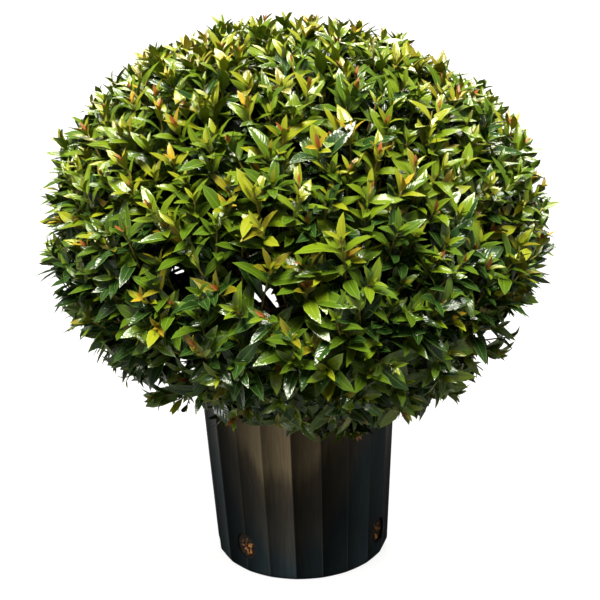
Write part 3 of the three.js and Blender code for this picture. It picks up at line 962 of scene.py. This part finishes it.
# %% Trunk
TRUNK_RADIUS = 0.013
TRUNK_TIP_RADIUS = 0.0095
ROOT_FLARE = 0.75
ROOT_LOBES = 5
ROOT_LOBE_DEPTH = 0.3
FLARE_DECAY = 9
TRUNK_SIDES = 36
TRUNK_CUTS = 54
SIDEWAYS = Vector((0, 1, 0))


def trunk_radius(share, around):
    """The trunk's radius at a share of its height and an angle around it."""
    lobes = 1 + ROOT_LOBE_DEPTH * math.cos(ROOT_LOBES * around)
    flare = 1 + ROOT_FLARE * math.exp(-FLARE_DECAY * share) * lobes
    return between(TRUNK_RADIUS, TRUNK_TIP_RADIUS, share) * flare


third = UP * (TRUNK_HEIGHT / 3)
trunk_line = (GROUND, GROUND + third, FORK - third, FORK)
trunk = limb("trunk_bark", trunk_line, SIDEWAYS, trunk_radius, TRUNK_SIDES, TRUNK_CUTS)
dress(trunk, "bark", "trunk")
print("trunk:", len(trunk.data.polygons), "faces")

# %% [markdown]
# ## Boughs
# Each bough leaves the trunk upwards, sweeps out and ends inside its mass. The leader carries the trunk
# straight on into the top mass. Below the skin of the trunk a bough simply starts on its axis, so the
# fork looks grown together.

# %% Boughs
BOUGH_RADIUS = 0.0056
BOUGH_TIP_RADIUS = 0.004
BOUGH_SWEEP = 0.07
BOUGH_END = 0.62
BOUGH_SIDES = 14
BOUGH_CUTS = 40

bough_tips = {}
for name, heart, start in masses:
    tip = in_globe(heart, BOUGH_END)
    way = (tip - GLOBE_CENTRE).normalized()
    outward = Vector((heart.x, heart.y, 0))
    if name == "top":
        across = SIDEWAYS
        root_radius = TRUNK_TIP_RADIUS
    else:
        outward.normalize()
        across = outward.cross(UP)
        root_radius = BOUGH_RADIUS
    line = (start, start + (outward + UP) * BOUGH_SWEEP, tip - way * BOUGH_SWEEP, tip)
    piece = limb(
        "bough_bark_" + name,
        line,
        across,
        lambda share, around, root=root_radius: between(root, BOUGH_TIP_RADIUS, share),
        BOUGH_SIDES,
        BOUGH_CUTS,
    )
    dress(piece, "bark", "bough_" + name)
    bough_tips[name] = (tip, way)
print("boughs:", len(bough_tips))

# %% [markdown]
# ## Branches
# Inside each mass the bough goes on as a stem, and branches leave it towards evenly spread directions,
# the same ones as the solids' shoots. Turning by the golden angle from one direction to the next spreads
# any number of them evenly over the globe. Each direction belongs to the mass that it points into.

# %% Branches
BRANCHES = 120
LOWEST_BRANCH = -0.84
GOLDEN_ANGLE = math.pi * (3 - math.sqrt(5))
STEM_END = 0.74
BRANCH_FROM = (0.05, 0.95)
BRANCH_END = 0.8
BRANCH_END_SWAY = 0.008
BRANCH_PULL = 0.35
BRANCH_SWAY = 0.012
growth = random.Random(20)


def spread(count):
    """Evenly spread directions, from straight up to straight down."""
    directions = []
    for number in range(count):
        height = 1 - (2 * number + 1) / count
        around = number * GOLDEN_ANGLE
        directions.append(towards(math.acos(height), around))
    return directions


def drift(chance, size):
    """A random step of up to some size along each axis."""
    return Vector([chance.uniform(-size, size) for _ in range(3)])


hearts = np.array([heart for name, heart, start in masses])
branches = []
for direction in spread(BRANCHES):
    if direction.z > LOWEST_BRANCH:
        name, heart, start = masses[int(np.argmax(hearts @ np.array(direction)))]
        tip, way = bough_tips[name]
        stem_tip = in_globe(heart, STEM_END)
        leave = tip.lerp(stem_tip, growth.uniform(*BRANCH_FROM))
        end = in_globe(direction, BRANCH_END) + drift(growth, BRANCH_END_SWAY)
        reach = (end - leave).length
        bend = leave + way * reach * BRANCH_PULL + drift(growth, BRANCH_SWAY)
        arrive = end - direction * reach * BRANCH_PULL + drift(growth, BRANCH_SWAY)
        branches.append((name, direction, (leave, bend, arrive, end)))
branch_directions = np.array([direction for name, direction, line in branches])
print("branches:", len(branches))

# %% [markdown]
# ## Where nothing grows
# Foliage stays clear of the pot. The shears cut the globe's foot flat, in a shallow cone that rises from
# below the pot's rim and a little higher over its front left, and only a few sprays hang lower. A few
# gaps in the globe show the sky. The gaps are known by the sight lines along which the picture shows
# them, so they run right through the globe.

# %% Where nothing grows
RIM_CLEARANCE = 0.003
FOOT_CUT_HEIGHT = 0.232
FOOT_CUT_SLOPE = 0.24
BARE_FRONT_ANGLE = math.radians(-27)
BARE_FRONT_WIDTH = math.radians(30)
BARE_FRONT_RISE = 0.018
SKY_GAPS = (
    (262, 296, 0.014),
    (274, 298, 0.014),
    (177, 273, 0.014),
    (173, 357, 0.010),
    (182, 364, 0.009),
    (121, 351, 0.009),
    (494, 336, 0.010),
    (486, 360, 0.009),
    (508, 316, 0.007),
)
gap_lines = [(sight_line(across, down), radius) for across, down, radius in SKY_GAPS]


def clear_of_pot(place, clearance=RIM_CLEARANCE):
    """Whether a place lies above the pot's rim or outside it, by some clearance."""
    above = place.z > POT_HEIGHT + clearance
    return above or place.xy.length > POT_TOP_RADIUS + clearance


def above_foot_cut(place):
    """Whether a place lies above the cone that the shears cut under the globe."""
    off_front = math.atan2(place.x, -place.y) - BARE_FRONT_ANGLE
    rise = BARE_FRONT_RISE * max(1 - (off_front / BARE_FRONT_WIDTH) ** 2, 0)
    return place.z > FOOT_CUT_HEIGHT + rise + FOOT_CUT_SLOPE * (place.xy.length - POT_TOP_RADIUS)


def in_sky_gap(place):
    """Whether a place lies in one of the gaps that show the sky."""
    return any(off_sight_line(place, line) < radius for line, radius in gap_lines)


def free(place, hanging=False):
    """Whether foliage may grow at a place. A hanging spray may reach below the cut."""
    return clear_of_pot(place) and (hanging or above_foot_cut(place)) and not in_sky_gap(place)


print("sky gaps:", len(gap_lines))

# %% [markdown]
# ## One shoot
# A shoot is a short straight stem that carries leaves. It starts on a thin twig, which leaves the branch
# that points nearest its way and bends round into the shoot. A shoot grows only where its tip, its root
# and three places on its twig are all free.

# %% One shoot
SHOOT_LENGTH = (0.05, 0.08)
HANGING_LENGTH = 0.04
TWIG_FROM = (0.35, 0.98)
TWIG_LEAVE_PULL = 0.3
TWIG_ARRIVE_PULL = 0.35
TWIG_SWAY = 0.006
TWIG_STATIONS = (0.3, 0.5, 0.75)
SHALLOWEST_ROOT = 0.9
TIP_ROOM = 0.015


def add_shoot(shoots, direction, tip, way, deep=False, hanging=False):
    """Adds a shoot with its mass, its twig and its line, if nothing is in its way."""
    root = tip - way * (HANGING_LENGTH if hanging else growth.uniform(*SHOOT_LENGTH))
    mass, heading, line = branches[int(np.argmax(branch_directions @ np.array(direction)))]
    leave = along(line, growth.uniform(*TWIG_FROM))
    reach = (root - leave).length
    bend = leave + heading * reach * TWIG_LEAVE_PULL + drift(growth, TWIG_SWAY)
    arrive = root - way * reach * TWIG_ARRIVE_PULL
    twig = (leave, bend, arrive, root)
    stations = [tip + way * TIP_ROOM, tip, root] + [along(twig, share) for share in TWIG_STATIONS]
    if globe_share(root) < SHALLOWEST_ROOT and all(free(place, hanging) for place in stations):
        shoot = {"mass": mass, "direction": direction, "twig": twig, "root": root, "way": way, "tip": tip}
        shoots.append({**shoot, "deep": deep, "hanging": hanging})


print("shoots are from", SHOOT_LENGTH[0], "to", SHOOT_LENGTH[1], "m long")

# %% [markdown]
# ## All shoots
# The shoots are spread like the branches, with more directions. A shoot ends just inside the globe that
# the shears cut, and leans outwards and up to the light. The globe isn't quite true: it swells at its
# upper left, and here and there a clump of sprays stands out. A second, deeper set of shoots fills the
# shaded space behind the first, and a few sprays hang over the front of the pot.

# %% All shoots
OUTER_SHOOTS = 1080
INNER_SHOOTS = 400
LOWEST_SHOOT = -0.93
OUTER_TIPS = (0.88, 0.985)
INNER_TIPS = (0.66, 0.82)
SHOOT_LIFT = 1.2
SHOOT_SWAY = 0.44
SHOOT_SCATTER = 0.045
CLUMP_DEPTH = 0.035
CLUMP_GRAIN = 5
BULGE = 0.055
BULGE_POWER = 4
BULGE_WAY = Vector((-0.8, 0.1, 0.59))
HANGING_SPRAYS = (
    (9, 0.236),
    (17, 0.238),
    (23, 0.230),
    (28, 0.222),
    (33, 0.226),
    (39, 0.234),
    (-38, 0.242),
)
HANGING_RADIUS = 0.152
HANGING_LEAN = 0.5
HANGING_SWAY = 0.2


def bulge(direction):
    """How far the globe swells out of its true shape, towards its upper left."""
    return BULGE * max(direction.dot(BULGE_WAY), 0) ** BULGE_POWER


def clump(direction):
    """How far the sprays of one part of the globe stand out."""
    return CLUMP_DEPTH * noise.noise(direction * CLUMP_GRAIN) + bulge(direction)


shoots = []
for count, tips, deep in ((OUTER_SHOOTS, OUTER_TIPS, False), (INNER_SHOOTS, INNER_TIPS, True)):
    for direction in spread(count):
        direction = (direction + drift(growth, SHOOT_SCATTER)).normalized()
        normal = Vector([part / reach for part, reach in zip(direction, GLOBE_REACH)]).normalized()
        lift = SHOOT_LIFT * min(max(1 + direction.z, 0), 1)
        way = (normal + UP * lift + drift(growth, SHOOT_SWAY)).normalized()
        tip = in_globe(direction, growth.uniform(*tips) + clump(direction))
        if direction.z > LOWEST_SHOOT:
            add_shoot(shoots, direction, tip, way, deep=deep)
for degrees, height in HANGING_SPRAYS:
    outward = level_way(math.radians(degrees))
    tip = outward * HANGING_RADIUS + UP * height
    way = (outward * HANGING_LEAN - UP + drift(growth, HANGING_SWAY)).normalized()
    add_shoot(shoots, (tip - GLOBE_CENTRE).normalized(), tip, way, hanging=True)
print("shoots:", len(shoots))

# %% [markdown]
# ## Twigs
# Branches and twigs are thin bent tubes. A tube of five sides is sketched once, and each copy's points
# are moved onto its own curve, all at once with arrays. The woody ones are brown, and the shoots that
# carry the leaves are still yellow-green.

# %% Twigs
TUBE_SIDES = 5
TUBE_CUTS = 4
STEEP = 0.9
tube = Shape(cut_cylinder(TUBE_SIDES, TUBE_CUTS))


def unit(vectors):
    """The same directions, at length 1."""
    return vectors / np.linalg.norm(vectors, axis=-1, keepdims=True)


def tubes(name, lines, radii, material):
    """One object of tubes along curves, each from its first radius to its last."""
    lines = np.array([[np.array(point) for point in line] for line in lines])
    radii = np.array(radii)
    share = tube.points[None, :, 2:]
    start, start_pull, end_pull, end = (lines[:, None, part] for part in range(4))
    centre = along((start, start_pull, end_pull, end), share)
    ahead = (start_pull - start) * (1 - share) ** 2 + (end_pull - start_pull) * (2 * share * (1 - share))
    ahead = unit(ahead + (end - end_pull) * share**2)
    chord = unit(end - start)
    spare = np.where(np.abs(chord[..., 2:]) < STEEP, np.array([0.0, 0, 1]), np.array([1.0, 0, 0]))
    side = unit(np.cross(ahead, np.cross(chord, spare)))
    across = np.cross(ahead, side)
    radius = between(radii[:, None, :1], radii[:, None, 1:], share)
    points = centre + radius * (side * tube.points[None, :, :1] + across * tube.points[None, :, 1:2])
    return join_copies(name, [(tube, points, np.zeros(len(lines), int))], [material])


print("tube:", len(tube.sizes), "faces")

# %% [markdown]
# ## Green stem finish
# This year's stems are yellow-green, and they redden or brown in patches as they ripen. Noise over the
# whole globe picks the tone, so that neighbours differ, and a very fine relief softens their shine.

# %% Green stem finish
STEM_GREEN = (0.16, 0.2, 0.03)
STEM_STOPS = ((0.38, (0.13, 0.065, 0.016)), (0.55, (0.23, 0.20, 0.028)), (0.7, (0.36, 0.27, 0.045)))

green_stem, stem_shader = start_material("green stem", STEM_GREEN, roughness=0.5, specular=0.4)
stem_place = object_place(green_stem)
stem_tones = add_noise(green_stem, stem_place, scale=40, detail=3)
stem_colour = add_ramp(green_stem, stem_tones, STEM_STOPS)
green_stem.node_tree.links.new(stem_colour, stem_shader.inputs["Base Color"])
stem_grain = add_noise(green_stem, stem_place, scale=1500, detail=2)
add_bump(green_stem, stem_shader, stem_grain, strength=0.3, depth=0.0002)
print("green stem finish:", len(green_stem.node_tree.nodes), "nodes")

# %% [markdown]
# ## Leaf outline
# A leaf is narrow, widest a little below its middle, with a short stalk and a drawn-out point. It is laid
# out as a grid of seven columns and five rows: the middle column is the pale midrib, the outer ones are
# the thin margin, and the two ends are pinched to points. Plainer leaves of two columns do for the shade
# inside the globe.

# %% Leaf outline
LEAF_ROWS = (0, 0.09, 0.28, 0.53, 0.79, 1)
LEAF_COLUMNS = (-1, -0.86, -0.48, -0.07, 0.07, 0.48, 0.86, 1)
PLAIN_COLUMNS = (-1, 0, 1)
NARROW_COLUMN = 0.2
BLADE = 0
MIDRIB = 1
MARGIN = 2
STALK_WIDTH = 0.035
STALK_SHARE = 0.05
BLADE_SKEW = 0.9
BLADE_FULLNESS = 0.7


def leaf_half_width(width, share):
    """Half the width of a leaf of unit length at a share of the way to its tip."""
    blade = max(share - STALK_SHARE, 0) / (1 - STALK_SHARE)
    outline = math.sin(math.pi * blade**BLADE_SKEW) ** BLADE_FULLNESS
    return max(width / 2 * outline, STALK_WIDTH / 2 * (1 - share))


def leaf_part(left, right):
    """Whether the column between two lines of a leaf is blade, midrib or margin."""
    if right - left > NARROW_COLUMN:
        return BLADE
    return MIDRIB if left + right == 0 else MARGIN


print("half width at mid-leaf:", round(leaf_half_width(1, 0.5), 3), "of the leaf's width")

# %% [markdown]
# ## Leaf shapes
# A leaf folds up along its midrib, its edges roll down again and ripple, and it curls back and twists
# towards its tip. Three leaves with different folds and curls are enough, because no two neighbours
# hang alike. The fourth is the plain one for the shade. A flat map, kept from before the folding, later
# tells where the veins run.

# %% Leaf shapes
LEAF_KINDS = (
    {"width": 0.34, "fold": 0.60, "roll": 0.28, "curl": 0.34, "twist": 0.20, "wave": 0.12},
    {"width": 0.39, "fold": 0.48, "roll": 0.32, "curl": 0.46, "twist": -0.35, "wave": 0.20},
    {"width": 0.29, "fold": 0.72, "roll": 0.24, "curl": 0.24, "twist": 0.40, "wave": 0.08},
)
SHADE_LEAF = {"width": 0.38, "fold": 0.40, "roll": 0.10, "curl": 0.30, "twist": 0.10, "wave": 0.10}
RIPPLES = 9
RIPPLE_SLANT = 2
POINT_MERGE = 1e-4


def leaf_shape(columns, width, fold, roll, curl, twist, wave):
    """A leaf of unit length along +Y, its upper face towards +Z."""
    sketch = bmesh.new()
    strips = len(columns) - 1
    rows = len(LEAF_ROWS) - 1
    bmesh.ops.create_grid(sketch, x_segments=strips, y_segments=rows, size=0.5)
    flat_map = sketch.loops.layers.uv.verify()
    for face in sketch.faces:
        strip = int((face.calc_center_median().x + 0.5) * strips)
        face.material_index = leaf_part(columns[strip], columns[strip + 1])
    for vert in sketch.verts:
        share = LEAF_ROWS[round((vert.co.y + 0.5) * rows)]
        column = columns[round((vert.co.x + 0.5) * strips)]
        half = leaf_half_width(width, share)
        for loop in vert.link_loops:
            loop[flat_map].uv = (column / 2 + 0.5, share)
        ripple = wave * math.sin(RIPPLES * share + RIPPLE_SLANT * column)
        height = half * (abs(column) * (fold + ripple) - roll * column**2) - curl * share**2
        side = half * column
        angle = twist * share
        x = side * math.cos(angle) - height * math.sin(angle)
        z = side * math.sin(angle) + height * math.cos(angle)
        vert.co = (x, share, z)
    bmesh.ops.remove_doubles(sketch, verts=sketch.verts, dist=POINT_MERGE)
    return Shape(sketch)


leaf_shapes = [leaf_shape(LEAF_COLUMNS, **kind) for kind in LEAF_KINDS]
leaf_shapes.append(leaf_shape(PLAIN_COLUMNS, **SHADE_LEAF))
print("leaf faces:", [len(shape.sizes) for shape in leaf_shapes])

# %% [markdown]
# ## Leaf finishes
# The leaves are waxy. Old ones are nearly black-green, new ones yellow-green, and the newest pairs golden
# or coppery. Each tint is a plain colour with its own gloss, dealt out below by the age and place of
# the leaf on its spray, and slightly paler ones are its midrib and margin. The side veins are a relief
# that follows the leaf's own flat map, and a fine puckering breaks up the gloss.

# %% Leaf finishes
VEINS = 11
VEIN_SLANT = 5
VEIN_SHARE = 0.3
PUCKER_GRAIN = 260
LEAF_RELIEF = 0.42
LEAF_RELIEF_DEPTH = 0.0006
LEAF_SPECULAR = 0.55
LEAF_TINTS = (
    # The shaded tint is painted shade, nearly black, for the leaves deep inside the globe.
    ("shaded", (0.0036, 0.0078, 0.0016), 0.32),
    ("deep", (0.0140, 0.0420, 0.0066), 0.20),
    ("mid", (0.0560, 0.1050, 0.0046), 0.19),
    ("fresh", (0.1120, 0.1680, 0.0050), 0.20),
    ("bright", (0.2050, 0.2250, 0.0080), 0.22),
    ("olive", (0.1700, 0.1500, 0.0060), 0.24),
    ("golden", (0.3600, 0.2500, 0.0160), 0.26),
    ("copper", (0.2700, 0.0760, 0.0190), 0.30),
)
RIB_COLOUR = (0.34, 0.44, 0.09)
LEAF_PARTS = (("leaf", 0), ("midrib", 0.16), ("margin", 0.14))


def leaf_finish(name, colour, roughness):
    """A waxy leaf of one tint, with side veins."""
    material, shader = start_material(name, colour, roughness, LEAF_SPECULAR)
    flat = add_node(material, "ShaderNodeUVMap", {}, uv_map="flat").outputs["UV"]
    parts = add_node(material, "ShaderNodeSeparateXYZ", {"Vector": flat})
    off_rib = add_math(material, "SUBTRACT", parts.outputs["X"], 0.5)
    out = add_math(material, "ABSOLUTE", off_rib)
    slant = add_math(material, "MULTIPLY", out, -VEIN_SLANT * math.tau)
    phase = add_math(material, "MULTIPLY_ADD", parts.outputs["Y"], VEINS * math.tau, slant)
    veins = add_math(material, "SINE", phase)
    pucker = add_noise(material, object_place(material), scale=PUCKER_GRAIN, detail=2)
    relief = add_math(material, "MULTIPLY_ADD", veins, VEIN_SHARE, pucker)
    add_bump(material, shader, relief, strength=LEAF_RELIEF, depth=LEAF_RELIEF_DEPTH)
    return material


leaf_materials = []
tint_numbers = {}
for tint, colour, roughness in LEAF_TINTS:
    tint_numbers[tint] = len(leaf_materials)
    for part, rib_share in LEAF_PARTS:
        part_colour = [between(own, rib, rib_share) for own, rib in zip(colour, RIB_COLOUR)]
        leaf_materials.append(leaf_finish(tint + " " + part, part_colour, roughness))
print("leaf finishes:", len(leaf_materials))

# %% [markdown]
# ## Leaves in pairs
# Leaves stand in opposite pairs, each pair turned a quarter against the one below. The pairs at a shoot's
# foot spread wide, and those at its tip are small and stand close to the stem. A leaf that would pass
# the cut globe is shortened, and none grows where it would touch the pot or close a gap that shows
# the sky.

# %% Leaves in pairs
LEAF_PAIRS = (
    {"along": 0.02, "angle": 62, "length": 0.043},
    {"along": 0.24, "angle": 52, "length": 0.046},
    {"along": 0.46, "angle": 44, "length": 0.046},
    {"along": 0.68, "angle": 37, "length": 0.042},
    {"along": 0.86, "angle": 30, "length": 0.034},
    {"along": 0.97, "angle": 23, "length": 0.024},
    {"along": 1.00, "angle": 14, "length": 0.015},
)
LEAF_ANGLE_SPREAD = 14
LEAF_LENGTH_SPREAD = 0.2
PAIR_TURN_SPREAD = 0.35
REACH_LIMIT = (1.0, 1.045)
TOP_REACH = 0.02
TOP_POWER = 4
SHORTEST = 0.6
TRIM_STEP = 0.003
LEAF_DROOP = max(kind["curl"] for kind in LEAF_KINDS)
LEAF_HALF_WIDTH = max(kind["width"] for kind in LEAF_KINDS) / 2


def reach_limit(direction, chance):
    """How far the leaves of a shoot may reach. The newest shoots at the top have outgrown the cut."""
    outgrown = chance.uniform(0, TOP_REACH) * max(direction.z, 0) ** TOP_POWER
    return chance.uniform(*REACH_LIMIT) + outgrown + bulge(direction)


def stays_off_pot(base, way, face, length):
    """Whether a leaf stays off the pot at its full width and droop."""
    side = way.cross(face) * LEAF_HALF_WIDTH * length
    middle = base + (way / 2 - face * LEAF_DROOP / 4) * length
    tip = base + (way - face * LEAF_DROOP) * length
    return all(clear_of_pot(place, 0) for place in (middle + side, middle - side, tip + side, tip - side))


def grown_leaf(base, way, face, length, limit, hanging):
    """A leaf that fits the globe, or None."""
    fitted = length
    while fitted > 0 and globe_share(base + way * fitted) > limit:
        fitted -= TRIM_STEP
    ends = (base + way * fitted, base + way * fitted * 0.5)
    fits = fitted > length * SHORTEST and all(free(place, hanging) for place in ends)
    if fits and stays_off_pot(base, way, face, fitted):
        return (base, way, face, fitted)
    return None


print("leaf pairs on a shoot:", len(LEAF_PAIRS))

# %% [markdown]
# ## Mood of a spray
# Sprays near the top are painted paler, as painted light from above, and each spray has a mood of its
# own.
# A few sprays end in golden pairs, more of them higher up, and a few in coppery ones. The coppery sprays
# that the picture shows in front are found by its sight lines.

# %% Mood of a spray
PALE_AT_FOOT = 0.07
PAINTED_TOP_LIGHT = 0.55
PALE_SPREAD = 0.17
GOLDEN_SHARE = 0.10
GOLDEN_AT_FOOT = 0.4
COPPER_SHARE = 0.04
COPPER_REACH = 0.011
COPPER_SIGHTS = (
    (313, 145),
    (388, 160),
    (247, 115),
    (308, 180),
    (390, 80),
    (510, 125),
    (270, 240),
    (352, 273),
)
copper_lines = [sight_line(across, down) for across, down in COPPER_SIGHTS]


def spray_mood(shoot, chance):
    """How pale a spray is, painted paler towards the top as painted light, and the tint of its newest
    pair.
    """
    height = (shoot["direction"].z + 1) / 2
    # Painted light: sprays are painted paler the higher they stand on the globe.
    pale = PALE_AT_FOOT + PAINTED_TOP_LIGHT * height + chance.gauss(0, PALE_SPREAD)
    faces_camera = shoot["direction"].y < 0
    off_sights = [off_sight_line(shoot["tip"], line) for line in copper_lines]
    copper_seen = faces_camera and min(off_sights) < COPPER_REACH
    draw = chance.random()
    if copper_seen or draw < COPPER_SHARE:
        return pale, "copper"
    if draw < COPPER_SHARE + GOLDEN_SHARE * (GOLDEN_AT_FOOT + height):
        return pale, "golden"
    return pale, None


print("sprays in front that end in copper:", len(copper_lines))

# %% [markdown]
# ## Tint of a pair
# Within a spray the leaves pale from its foot to its tip, and now and then a pair is olive. The smallest
# pair, the bud, is often coppery. In a golden or coppery spray the pairs below the newest one run through
# gold to bright green. Deep inside the globe the leaves are painted nearly black, as painted shade.

# %% Tint of a pair
TINT_STEPS = ((0.30, "deep"), (0.60, "mid"), (0.86, "fresh"))
TIP_LIGHT = 0.58
AGE_SHADE = 0.14
LIGHT_SPREAD = 0.18
PAINTED_SHADE_SHARE = 0.6
BUD_AGE = 0.05
BUD_SHARE = 0.55
NEWEST_AGE = 0.1
NEWEST_STEPS = ((0.2, "golden"), (0.4, "bright"))
OLIVE_AGE = 0.5
OLIVE_SHARE = 0.11


def leaf_tint(pale, newest, age, deep, chance):
    """The tint of one pair, by its spray's paleness and its age from 1 at the foot to 0 at the tip."""
    if deep:
        # Painted shade: the deep leaves mostly take the nearly black shaded tint.
        return "shaded" if chance.random() < PAINTED_SHADE_SHARE else "deep"
    if age < BUD_AGE and chance.random() < BUD_SHARE * pale:
        return "copper"
    if newest:
        for limit, tint in ((NEWEST_AGE, newest), *NEWEST_STEPS):
            if age < limit:
                return tint
    if age < OLIVE_AGE and chance.random() < OLIVE_SHARE:
        return "olive"
    light = pale + TIP_LIGHT * (1 - age) ** 2 - AGE_SHADE * age
    light += chance.uniform(-LIGHT_SPREAD, LIGHT_SPREAD)
    for limit, tint in TINT_STEPS:
        if light < limit:
            return tint
    return "bright"


print("tints:", list(tint_numbers))

# %% [markdown]
# ## Growing the sprays
# Now every shoot gets its pairs of leaves, and each leaf goes on the list of its mass. A shoot that the
# rules above leave nearly bare is dropped with its twig, as the shears would have taken it.

# %% Grow the sprays
SPRAY_SIZE = (0.86, 1.16)
HANGING_SIZE = 0.8
FEWEST_LEAVES = 3
DEEP_PAIRS = (1, 2, 3, 4)
NEWEST_KIND = 2
NEWEST_KIND_AGE = 0.2
SHADE_KIND = 3


def spray_leaves(shoot, chance):
    """The leaves of one shoot, each with its place, way, face, length, kind and tint."""
    pale, newest = spray_mood(shoot, chance)
    root, tip, way = shoot["root"], shoot["tip"], shoot["way"]
    limit = reach_limit(shoot["direction"], chance)
    first_out = way.cross(drift(chance, 1)).normalized()
    size = chance.uniform(*SPRAY_SIZE) * (HANGING_SIZE if shoot["hanging"] else 1)
    leaves = []
    for number in DEEP_PAIRS if shoot["deep"] else range(len(LEAF_PAIRS)):
        pair = LEAF_PAIRS[number]
        age = 1 - number / (len(LEAF_PAIRS) - 1)
        tint = leaf_tint(pale, newest, age, shoot["deep"], chance)
        quarter = number * math.pi / 2 + chance.uniform(-PAIR_TURN_SPREAD, PAIR_TURN_SPREAD)
        for half_turn in (0, math.pi):
            out = Matrix.Rotation(quarter + half_turn, 3, way) @ first_out
            angle = math.radians(pair["angle"] + chance.uniform(-LEAF_ANGLE_SPREAD, LEAF_ANGLE_SPREAD))
            leaf_way = way * math.cos(angle) + out * math.sin(angle)
            leaf_face = way * math.sin(angle) - out * math.cos(angle)
            growing = 1 + chance.uniform(-LEAF_LENGTH_SPREAD, LEAF_LENGTH_SPREAD)
            length = pair["length"] * size * growing
            base = root.lerp(tip, pair["along"])
            leaf = grown_leaf(base, leaf_way, leaf_face, length, limit, shoot["hanging"])
            kind = chance.randrange(len(LEAF_KINDS)) if age > NEWEST_KIND_AGE else NEWEST_KIND
            if shoot["deep"]:
                kind = SHADE_KIND
            if leaf:
                leaves.append((*leaf, kind, tint_numbers[tint]))
    return leaves


leaves_of = {name: [] for name, heart, start in masses}
leafy_shoots = []
for shoot in shoots:
    leaves = spray_leaves(shoot, growth)
    if len(leaves) >= FEWEST_LEAVES:
        leafy_shoots.append(shoot)
        leaves_of[shoot["mass"]] += leaves
print("leaves:", sum(len(leaves) for leaves in leaves_of.values()), "on", len(leafy_shoots), "shoots")

# %% [markdown]
# ## Foliage pieces
# Each mass becomes three pieces: its brown branches and twigs, its green stems and its leaves. They stand
# for the mass's solid together. The wood and the stems come first, as tubes along the lines grown above.

# %% Branches and stems of each mass
BRANCH_RADII = (0.0028, 0.0019)
STEM_RADII = (0.004, 0.0026)
TWIG_RADII = (0.0017, 0.0011)
SHOOT_RADII = (0.0014, 0.0008)
STRAIGHT_PULLS = (0.33, 0.67)


def straight(start, end):
    """A straight line, as a curve of four points."""
    start_pull, end_pull = (start.lerp(end, share) for share in STRAIGHT_PULLS)
    return (start, start_pull, end_pull, end)


for name, heart, start in masses:
    tip, way = bough_tips[name]
    stem_tip = in_globe(heart, STEM_END)
    wood_lines = [straight(tip, stem_tip)]
    wood_radii = [STEM_RADII]
    own_branches = [line for mass, direction, line in branches if mass == name]
    own_shoots = [shoot for shoot in leafy_shoots if shoot["mass"] == name]
    wood_lines += own_branches + [shoot["twig"] for shoot in own_shoots]
    wood_radii += [BRANCH_RADII] * len(own_branches) + [TWIG_RADII] * len(own_shoots)
    wood = tubes("branches_" + name, wood_lines, wood_radii, twig_bark)
    dress(wood, "bark", "foliage_" + name)
    green_lines = [straight(shoot["root"], shoot["tip"]) for shoot in own_shoots]
    green = tubes("stems_" + name, green_lines, [SHOOT_RADII] * len(green_lines), green_stem)
    dress(green, "foliage", "foliage_" + name)
    print(name, "has", len(wood_lines), "woody lengths and", len(green_lines), "green stems")

# %% [markdown]
# ## Leaf pieces
# A mass carries over a thousand leaves, so they are joined into one mesh. The points of a leaf's shape
# are laid along the leaf's own way, face and side, and the finish of its tint goes on with them.

# %% Leaves of each mass


def placed_leaves(shape, leaves):
    """The points of a leaf shape's copies."""
    base = np.array([leaf[0] for leaf in leaves])[:, None]
    way = np.array([leaf[1] for leaf in leaves])[:, None]
    face = np.array([leaf[2] for leaf in leaves])[:, None]
    length = np.array([leaf[3] for leaf in leaves])[:, None, None]
    side = np.cross(way, face)
    x, y, z = (shape.points[None, :, part : part + 1] for part in range(3))
    return base + length * (side * x + way * y + face * z)


leaf_triangles = 0
for name, heart, start in masses:
    groups = []
    for kind, shape in enumerate(leaf_shapes):
        leaves = [leaf for leaf in leaves_of[name] if leaf[4] == kind]
        groups.append((shape, placed_leaves(shape, leaves), [leaf[5] for leaf in leaves]))
    foliage = join_copies("leaves_" + name, groups, leaf_materials)
    dress(foliage, "foliage", "foliage_" + name)
    foliage.data.calc_loop_triangles()
    leaf_triangles += len(foliage.data.loop_triangles)
print("leaf triangles:", leaf_triangles)
